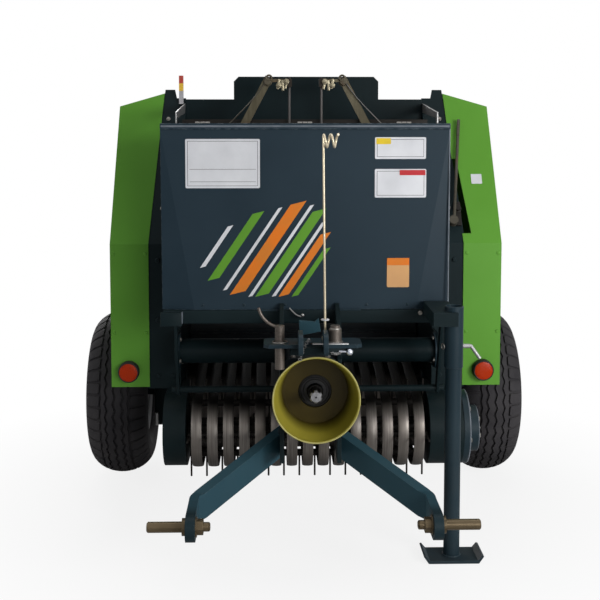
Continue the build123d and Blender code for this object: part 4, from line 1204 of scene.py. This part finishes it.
hitch = {
    "shoulder": 0.3065,  # x of the pins' inner shoulder
    "nut": 0.020,
    "stud": (0.024, 0.0165),
    "washer": [(0.0265, 0), (0.0265, 0.003), (0.025, 0.0035)],
    "block": ((-0.060, -0.604, 0.605), (0.098, -0.560, 0.625)),
    "wear": ((-0.002, -0.6135, 0.6348), (0.0955, -0.5995, 0.6378)),
    # start; run along x and z, sag; ring and its bar; how the rings face in turn
    "chains": [
        ((-0.012, -0.617, 0.648), (-0.022, -0.052, 0.008), (0.0042, 0.0011))
        + ((0.2, 1, 0.4), (1, 0.3, 0)),
        ((0.050, -0.606, 0.612), (0.024, 0.0, -0.004), (0.0036, 0.0010))
        + ((0, 0.3, 1), (0, 1, 0.5)),
    ],
    "knob": (0.098, -0.612, 0.615),
    "neck": [(0.070, -0.606, 0.616), (0.094, -0.611, 0.615)],
    "hook": [(-0.058, -0.334, 0.684), (-0.050, -0.340, 0.676)]
    + [(-0.038, -0.345, 0.666), (-0.024, -0.347, 0.661)],
    "hookTip": (-0.020, -0.349, 0.666),
    "gusset": [(-0.032, 0.632), (0.027, 0.643), (0.021, 0.680), (0.010, 0.671), (-0.034, 0.675)],
    "gussetY": -0.470,
    "pins": ((-0.088, -0.5825, 0.635), (0.061, -0.5825, 0.635)),
    "collar": [(0.021, 0), (0.021, 0.003), (0.0195, 0.004)],
    "spring": [(0.0148 + 0.0012 * (k % 2), 0.006 + 0.0042 * k) for k in range(9)],
}


def buildHitch():
    middle = middleOf("hitch_pins")
    stubs = []
    for sign in signs:
        facing, shoulder = (-sign, 0, 0), hitch["shoulder"]
        nutFace = (sign * (shoulder - hitch["nut"]), middle.y, middle.z)
        stubs.append(placed(threadedStud(*hitch["stud"]), nutFace, facing))
        stubs.append(lathed(hitch["washer"], 32, (sign * shoulder, middle.y, middle.z), facing))
    addPiece("pinThreads", stubs, "yellowZinc")
    addPiece("latchBlock", [bar(*hitch["block"], 0.004)], "framePaint")
    addPiece("wearStrip", [bar(*hitch["wear"], 0.002)], "brightSteel")
    # short slack chains: rings in turn flat and upright along a hanging line
    links, t = [], np.linspace(0, 1, 9)
    for (x, y, z), (along, drop, sag), ring, *facings in hitch["chains"]:
        line = np.column_stack([x + along * t, y + 0 * t, z + drop * t + sag * np.sin(math.pi * t)])
        shape = ringBar(*ring, 14, 6)
        links += [placed(shape, point, facings[k % 2]) for k, point in enumerate(line)]
    addPiece("pinChain", links, "brightSteel", smooth=50)
    knob = [ball(0.0095, 24, hitch["knob"]), pipe(hitch["neck"], 0.003, 10)]
    addPiece("latchKnob", knob, "chromeKnob", smooth=50)
    wire = pipe(curved(hitch["hook"], 6), 0.0026, 10, (0, 1, 0))
    addPiece("springHook", [wire, ball(0.0055, 18, hitch["hookTip"])], "brightSteel", smooth=50)
    gusset = slab(hitch["gusset"], 0.008, 0.001)
    addPiece("headGusset", [facingFront(gusset, hitch["gussetY"])], "armPaint")
    caps = [lathed(hitch["collar"], 28, place) for place in hitch["pins"]]
    caps.append(lathed(hitch["spring"], 20, hitch["pins"][1]))
    addPiece("headPinCollars", caps, "zincSteel")


buildHoseHook()
buildHitch()
print("hitch done")


# drive: guard's rim, hub seal, gearbox bolts and breather

drive = {
    "x": 0.011,
    "z": 0.475,
    "front": -0.5795,
    "rim": (0.1178, 0.0021),
    "bolt": 0.0075,
    "sealY": -0.4705,
    "seal": [(0.0445, 0), (0.0445, 0.006), (0.041, 0.0075), (0.038, 0.0045), (0.034, 0.0045)]
    + [(0.032, 0.007), (0.0235, 0.008), (0.0215, 0.0)],
    "bolts": [(x, y, 0.563) for x in (-0.05, 0.05) for y in (-0.44, -0.33)],
    "breather": [(0.011, 0), (0.011, 0.006), (0.008, 0.009), (0.008, 0.018)]
    + [(0.0095, 0.02), (0.006, 0.026)],
    "breatherAt": (0.0, -0.385, 0.563),
}


def buildDrive():
    x, z = drive["x"], drive["z"]
    # the rim's brighter olive is a painted highlight
    rim = placed(ringBar(*drive["rim"], 72), (x, drive["front"], z), forward)
    addPiece("guardRim", [rim], "guardEdge", smooth=50)
    seal = lathed(drive["seal"], 48, (x, drive["sealY"], z), forward, ends=False)
    addPiece("hubSeal", [seal], "blackPlastic")
    bolts = copies(hexBolt(drive["bolt"]), drive["bolts"])
    breather = lathed(drive["breather"], 20, drive["breatherAt"])
    addPiece("gearboxBolts", [bolts, breather], "zincSteel")


buildDrive()
print("drive done")


# cross tube, beam and its welds

structure = {
    "tube": (-0.1295, 0.515),  # y, z
    "tubeR": 0.038,
    "beamFront": -0.3295,
    "flange": [(0.055, 0), (0.055, 0.005), (0.0535, 0.006), (0.0385, 0.006), (0.0385, 0)],
    "flangeX": 0.3995,
    "boltX": 0.3935,
    "mastX": (0.0745, 0.0875),
    "armX": 0.0885,  # beads where the lower arms and the beam meet the mast
    "armBead": [(-0.3575, 0.334), (-0.3575, 0.268)],
    "beamBead": (0.15, 0.6775),
    "bolts": (4, 0.047, 0.5),  # count, circle's radius, first angle
    "pin": [(0.0035, -0.012), (0.0035, 0.012), (0.003, 0.013)],
}


def circleAt(centre, radius, u, v, steps=40):
    # the centre plus the radius times (cosine along u plus sine along v)
    turn = np.linspace(0, fullTurn, steps)[:, None]
    return np.asarray(centre) + radius * (np.cos(turn) * np.asarray(u) + np.sin(turn) * np.asarray(v))


def buildStructure():
    (y, z), radius = structure["tube"], structure["tubeR"] + 0.001
    front, flangeX, armX = (structure[key] for key in ("beamFront", "flangeX", "armX"))
    beadX, beadZ = structure["beamBead"]
    beads, plates, bolts = [], [], []

    def roundTube(x, size):
        beads.append(weldBead(circleAt((x, y, z), radius, (0, 1, 0), up), size, (1, 0, 0)))

    for sign in signs:
        roundTube(sign * flangeX, 0.0035)
        for inner in structure["mastX"]:
            roundTube(sign * inner, 0.003)
        beads.append(weldBead([(sign * x, front - 0.001, beadZ) for x in (armX, beadX)], 0.0025))
        facing = (-sign, 0, 0)
        plates.append(lathed(structure["flange"], 40, (sign * flangeX, y, z), facing, ends=False))
        spots = atX(sign * structure["boltX"], circlePlaces(*structure["bolts"]) + (y, z))
        bolts.append(copies(hexBolt(0.0065), spots, facing))
        beads.append(weldBead(atX(sign * armX, structure["armBead"]), 0.004, (0, 1, 0)))
    addPiece("welds", beads, "bodyPaint", smooth=50)
    addPiece("tubeFlanges", plates, "bodyPaint")
    bolts.append(placed(hexBolt(0.006), (0.325, front, 0.668), forward))
    addPiece("frameBolts", bolts, "zincSteel")
    pin = placed(ringBar(0.0105, 0.0016), (0.4005, y - 0.01, z + 0.012), (0.3, -1, 0))
    stem = lathed(structure["pin"], 10, (0.398, y - 0.010, z + 0.024), (1, 0, 0))
    addPiece("lynchRing", [pin, stem], "yellowZinc")


beam = {
    "half": 0.425,
    "y": (-0.3295, -0.2895),
    "z": (0.638, 0.678),
    "lugX": 0.4125,
    "lugBack": -0.0655,
    "lugFoot": 0.628,
}
beamArm = {"x": (0.334, 0.403), "front": -0.5275, "z": (0.664, 0.703), "gap": 0.0003}
beamStub = {"x": (-0.433, -0.370), "z": (0.634, 0.6735)}


def jackSleeve():
    # x and y of the sleeve's axis, and its radius
    low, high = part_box("jack_sleeve")
    return (low.x + high.x) / 2, (low.y + high.y) / 2, (high.x - low.x) / 2


def buildBeam():
    # a rounded square tube along x; the arm's plan leaves out the jack sleeve's circle
    half, (front, back), (foot, top) = beam["half"], beam["y"], beam["z"]
    tube = slab(roundedOutline(back - front, top - foot, 0.004), 2 * half)
    shapes = [onFace(tube, (-half, (front + back) / 2, (foot + top) / 2), (0, 1, 0), up)]
    for sign in signs:
        inner = (sign * beam["lugX"], back - 0.02, beam["lugFoot"])
        shapes.append(bar(inner, (sign * half, beam["lugBack"], top)))
    x, y, radius = jackSleeve()
    radius += beamArm["gap"]
    inner, outer = beamArm["x"]
    start = math.asin((outer - x) / radius)
    turn = np.linspace(start, -math.pi - start, 25)
    bite = np.column_stack([x + radius * np.sin(turn), y + radius * np.cos(turn)])
    far = [(outer, beamArm["front"]), (inner, beamArm["front"])]
    plan = np.concatenate([[(inner, front), (outer, front)], bite, far])
    armFoot, armTop = beamArm["z"]
    shapes.append(moved(slab(plan, armTop - armFoot), (0, 0, armFoot)))
    (left, right), (foot, top) = beamStub["x"], beamStub["z"]
    shapes.append(bar((left, front - 0.016, foot), (right, front + 0.002, top), 0.002))
    addPiece("beamWithArm", shapes, "framePaint", stands=["front_beam"])
    # painted highlight: a pale strip on the stub's end
    low, high = (right - 0.001, front - 0.017, foot + 0.008), (right + 0.0015, front, top + 0.001)
    addPiece("stubEnd", [bar(low, high, 0.0006)], "paleEdge")


# low and high corners on the right, y from the axle's middle, bevel, finish
axleParts = {
    "axleMounts": ((0.4135, -0.05, 0.168), (0.522, 0.05, 0.360), 0.004, "framePaint"),
    "axleClips": ((0.508, -0.062, 0.168), (0.5235, -0.040, 0.214), 0.003, "brightSteel"),
}


def buildAxleMounts():
    # a mounting block each side where the axle leaves the frame, and a clip under it
    y = middleOf("axle_beam").y
    for name, (low, high, bevel, finish) in axleParts.items():
        corners = [(np.array(low) * (sign, 1, 1), np.array(high) * (sign, 1, 1)) for sign in signs]
        shapes = [moved(bar(*pair, bevel), (0, y, 0)) for pair in corners]
        addPiece(name, shapes, finish)


lever = {"steps": (-0.004, 0.047, 0.049), "radius": (0.0056, 0.0056, 0.0040), "lean": 0.14}


def buildLeverTip():
    # the lever's bar carried on to its full height: rises over its end, with the radius at each
    end = np.array(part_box("valve_lever")[1]) - (0.005, 0.005, 0.003)
    lean = np.array([lever["lean"], math.tan(slope["rise"]), 1])
    line = [end + lean * step for step in lever["steps"]]
    tip = pipe(line, lever["radius"], 16, (1, 0, 0))
    addPiece("leverTip", [tip], "oldSteel", smooth=50)


jack = {
    "ring": (0.0075, 0.0015),
    "ringAt": (-0.031, -0.006, 0.604),  # x and y from the sleeve's axis, z
    "bore": 0.0232,  # clear of the leg, which slides up through the ring
    "plug": [(0.0222, 0), (0.0222, 0.004), (0.020, 0.0055), (0.004, 0.006)],
    "footTop": 0.0085,
    "footWeld": 0.0235,
}


def buildJack():
    low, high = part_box("jack_sleeve")
    x, y, radius = jackSleeve()
    wide, bore = radius + 0.0005, jack["bore"]
    rim = [(wide, 0), (wide, 0.004), (radius - 0.001, 0.006), (bore, 0.006), (bore, 0)]
    addPiece("jackCap", [lathed(rim, 36, (x, y, high.z - 0.001), ends=False)], "bodyPaint")

    def level(z, reach, size):
        return weldBead(circleAt((x, y, z), reach, (1, 0, 0), (0, 1, 0), 60), size)

    addPiece("jackSleeveEnd", [level(low.z + 0.001, radius - 0.002, 0.0022)], "bodyPaint", smooth=50)
    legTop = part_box("jack_leg")[1].z
    addPiece("jackPlug", [lathed(jack["plug"], 36, (x, y, legTop - 0.002))], "bodyPaint", "jack_leg")
    foot = level(jack["footTop"], jack["footWeld"], 0.0035)
    addPiece("footWeld", [foot], "bodyPaint", "jack_leg", smooth=50)
    ring = placed(ringBar(*jack["ring"]), np.array(jack["ringAt"]) + (x, y, 0), (1, 0.4, 0))
    addPiece("jackRing", [ring], "zincSteel")


buildStructure()
buildBeam()
buildAxleMounts()
buildLeverTip()
buildJack()
print("structure and jack done")


# pickup: bands, cam housing's rims and bolts

pickup = {
    "y": -0.1245,
    "z": 0.268,
    "band": 0.115,
    "width": 0.032,
    "crown": 0.0028,
    "pitch": 0.0485,
    "count": 15,
    "lean": 10.5,  # degrees by which the upper run rises towards the back
    "run": 0.30,
    "lowerEnd": 0.185,
}
cam = {
    "z": 0.270,
    "hubZ": 0.263,
    "rimX": 0.4945,
    "boltX": 0.498,
    "rim": [(0.1138, 0), (0.1146, 0.001), (0.1146, 0.003), (0.1138, 0.004)]
    + [(0.108, 0.004), (0.108, 0)],
    "hub": [(0.0706, 0), (0.0713, 0.001), (0.0713, 0.0022), (0.0706, 0.003)]
    + [(0.066, 0.003), (0.066, 0)],
    "grease": [(0.006, 0), (0.006, 0.004), (0.0035, 0.005), (0.0035, 0.011)]
    + [(0.0045, 0.0125), (0.0025, 0.016)],
    "bolts": (0.0075, (6, 0.094, 0.2)),  # size; count, circle's radius, first angle
    "hubBolts": (0.008, (6, 0.05, 0.2)),
}


def buildBandSkins():
    # a low crown across each band, carried along its wrap: the rear run above, the front half
    # circle and the run below
    middle = (pickup["count"] - 1) / 2
    offsets = (np.arange(pickup["count"]) - middle) * pickup["pitch"]
    across = np.linspace(-1, 1, 11)
    rise = np.append(pickup["crown"] * (1 - across**2) ** 0.6, [-0.001, -0.001])
    side = np.append(across, [1, -1]) * pickup["width"] / 2
    turn = np.radians(np.linspace(90 + pickup["lean"], 270, 40))
    facing = np.column_stack([np.cos(turn), np.sin(turn)])
    path = facing * pickup["band"]
    lean = math.radians(pickup["lean"])
    back = path[0] + np.array([math.cos(lean), math.sin(lean)]) * pickup["run"]
    path = np.concatenate([[back], path, [[pickup["lowerEnd"], -pickup["band"]]]])
    facing = np.concatenate([facing[:1], facing, facing[-1:]])
    reach = path[:, None] + rise[None, :, None] * facing[:, None] + (pickup["y"], pickup["z"])
    rows = np.concatenate([np.broadcast_to(side[None, :, None], (*reach.shape[:2], 1)), reach], -1)
    skins = copies(strip(rows), [(x, 0, 0) for x in offsets])
    addPiece("bandSkins", [skins], "bandSteel", smooth=50)


def buildCam():
    y, right, face = pickup["y"], (1, 0, 0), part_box("cam_housing")[1].x
    # painted highlights: pale rims on the cam housing's edges
    rim = lathed(cam["rim"], 72, (cam["rimX"], y, cam["z"]), right, ends=False)
    addPiece("camRim", [rim], "paleEdge")
    hubRing = lathed(cam["hub"], 64, (face - 0.0025, y, cam["hubZ"]), right, ends=False)
    addPiece("camHubRim", [hubRing], "paleEdge")
    shapes = []
    rings = (cam["bolts"], cam["boltX"], cam["z"]), (cam["hubBolts"], face, cam["hubZ"])
    for (size, circle), x, z in rings:
        shapes.append(copies(hexBolt(size), atX(x, circlePlaces(*circle) + (y, z)), right))
    shapes.append(lathed(cam["grease"], 12, (face, y, cam["hubZ"]), right))
    addPiece("camBolts", shapes, "zincSteel")


buildBandSkins()
buildCam()
print("pickup done")


# bearings of the rollers, tailgate and cylinders

chamber = {
    "middle": (0.3505, 0.800),  # y, z
    "pitch": 0.328,
    "face": 0.421,
    "rollers": {"frame": (120, 156, 192, 264), "tailgate": (300, 336, 12, 48, 84)},
    "collar": [(0.0205, 0), (0.0205, 0.006), (0.019, 0.0075), (0.0158, 0.0075), (0.0158, 0)],
    "bolts": (4, 0.027, math.pi / 4),  # count, circle's radius, first angle
    "boltSize": 0.0075,
    "hinge": (0.422, 0.2505, 1.262),
    "hingeNut": (0.022, 1.1),
    "guardBolt": 0.008,
    "guardAngles": (-60, -25, 10, 45),
    "guardHalf": 0.040,
}


def chamberPlaces(angles, reach):
    # y follows the cosine and z the sine, round the chamber's middle
    turn = np.radians(angles)
    return np.array(chamber["middle"]) + reach * np.column_stack([np.cos(turn), np.sin(turn)])


def buildBearings():
    face = chamber["face"]
    ring = circlePlaces(*chamber["bolts"])
    for body, angles in chamber["rollers"].items():
        for side, sign in leftRight:
            name, facing = body + "_" + side, (sign, 0, 0)
            centres = chamberPlaces(angles, chamber["pitch"])
            spots = atX(sign * face, (centres[:, None] + ring[None]).reshape(-1, 2))
            bolts = copies(hexBolt(chamber["boltSize"]), spots, facing)
            addPiece("bearingBolts_" + name, [bolts], "zincSteel", body)
            collar = strip(turned(chamber["collar"], 28), ends=False)
            collars = copies(collar, atX(sign * (face - 0.001), centres), facing)
            addPiece("bearingCollars_" + name, [collars], "oldSteel", body)


def buildTailgate():
    x, y, z = chamber["hinge"]
    for side, sign in leftRight:
        nut = placed(nutOnStud(*chamber["hingeNut"]), (sign * x, y, z), (sign, 0, 0))
        addPiece("hingeNut_" + side, [nut], "zincSteel")
    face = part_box("tailgate_chain_guard")[0].x
    reaches = [chamber["pitch"] + sign * chamber["guardHalf"] for sign in signs]
    rows = [atX(face, chamberPlaces(chamber["guardAngles"], reach)) for reach in reaches]
    bolts = copies(hexBolt(chamber["guardBolt"]), np.concatenate(rows), (-1, 0, 0))
    addPiece("chainGuardBolts", [bolts], "zincSteel", "tailgate")


cylinder = {
    "x": 0.450,
    "pinX": 0.4715,
    "lower": (0.1305, 0.690),  # y, z
    "upper": (0.4505, 1.160),
    "ring": [(0.0275, 0), (0.0275, 0.010), (0.0265, 0.011), (0.0262, 0.0)],
    "ringBack": 0.082,
    "port": [(0.009, 0), (0.009, 0.010), (0.007, 0.011), (0.007, 0.020), (0.0085, 0.021)]
    + [(0.0085, 0.030), (0.0055, 0.032)],
    "portOut": 0.024,
    "ports": (0.045, 0.105),  # from the lower and from the upper end
    "washer": [(0.0165, 0), (0.0165, 0.004), (0.0155, 0.005)],
}


def buildCylinders():
    lower = np.array(cylinder["lower"])
    length = np.linalg.norm(cylinder["upper"] - lower)
    along = (cylinder["upper"] - lower) / length
    square = np.array((-along[1], along[0]))
    for side, sign in leftRight:
        x = sign * cylinder["x"]
        ringAt = lower + along * (length - cylinder["ringBack"])
        shapes = [lathed(cylinder["ring"], 36, (x, *ringAt), (0, *along))]
        for reach in (cylinder["ports"][0], length - cylinder["ports"][1]):
            spot = lower + along * reach + square * cylinder["portOut"]
            shapes.append(lathed(cylinder["port"], 16, (x, *spot), (0, *square)))
        addPiece("cylinderFittings_" + side, shapes, "zincSteel", "cylinder_" + side)
        washer = lathed(cylinder["washer"], 24, (sign * cylinder["pinX"], *lower), (sign, 0, 0))
        addPiece("pinWasher_" + side, [washer], "zincSteel")


buildBearings()
buildTailgate()
buildCylinders()
print("bearings, tailgate and cylinders done")


# floor, backdrop and lights

studio = {
    "floor": (0.72, 0.72, 0.72),
    "reach": 30,
    "glow": (0.84, 1.0),  # how far the floor shown to the camera is lifted to white, near and far
    "glowReach": (0.6, 1.5),
    "ambient": 0.2,
    "aim": (0, -0.1, 0.7),
    "lamps": [  # name, place, size in metres, power in watts
        ("keyRight", (2.5, -2.9, 1.5), 1.5, 84),
        ("frontSoft", (1.7, -4.3, 1.2), 2.0, 42),
        ("fillLeft", (-3.2, -0.6, 1.5), 2.0, 12),
        ("topSoft", (0.3, 0.5, 3.6), 2.6, 26),
        ("backSoft", (-1.6, 3.6, 2.0), 2.4, 70),
    ],
}
white = (1, 1, 1, 1)


def buildFloor():
    reach = studio["reach"]
    corners = [(-reach, -reach, 0), (reach, -reach, 0), (reach, reach, 0), (-reach, reach, 0)]
    plane = bpy.data.meshes.new("floor")
    plane.from_pydata(corners, [], [(0, 1, 2, 3)])
    newObject("floor", plane)
    tree, shader, coords = startMaterial("paleFloor")
    give(tree, shader.inputs["Base Color"], studio["floor"])
    give(tree, shader.inputs["Roughness"], 0.9)
    shader.inputs["Specular IOR Level"].default_value = 0.0
    glow = addNode(tree, "Emission", {"Color": white, "Strength": 1.0})
    seen = addNode(tree, "LightPath").outputs["Is Camera Ray"]
    away = addNode(tree, "VectorMath", {0: coords}, operation="LENGTH").outputs["Value"]
    share = maths(tree, "MULTIPLY", seen, ranged(tree, away, *studio["glow"], *studio["glowReach"]))
    mix = addNode(tree, "MixShader", {0: share, 1: shader.outputs[0], 2: glow.outputs[0]})
    give(tree, nodeOf(tree, "OUTPUT_MATERIAL").inputs[0], mix.outputs[0])
    plane.materials.append(bpy.data.materials["paleFloor"])


def buildWorld():
    # white wherever it is seen straight or in a reflection, dim where it only lights
    world = bpy.data.worlds.new("studio")
    bpy.context.scene.world = world
    world.use_nodes = True
    tree = world.node_tree
    tree.nodes.clear()
    path = addNode(tree, "LightPath").outputs
    shown = maths(tree, "MAXIMUM", path["Is Camera Ray"], path["Is Transmission Ray"])
    shown = maths(tree, "MAXIMUM", shown, path["Is Glossy Ray"])
    strength = ranged(tree, shown, studio["ambient"], 1.0)
    light = addNode(tree, "Background", {"Color": white, "Strength": strength})
    addNode(tree, "OutputWorld", {0: light.outputs[0]})


def buildLamps():
    for name, place, size, power in studio["lamps"]:
        data = bpy.data.lights.new(name, "AREA")
        data.shape = "DISK"
        data.size = size
        data.energy = power
        light = newObject(name, data)
        light.location = place
        aim = Vector(studio["aim"]) - Vector(place)
        light.rotation_euler = aim.to_track_quat("-Z", "Y").to_euler()


buildFloor()
buildWorld()
buildLamps()
bpy.context.scene.view_settings.view_transform = "Standard"
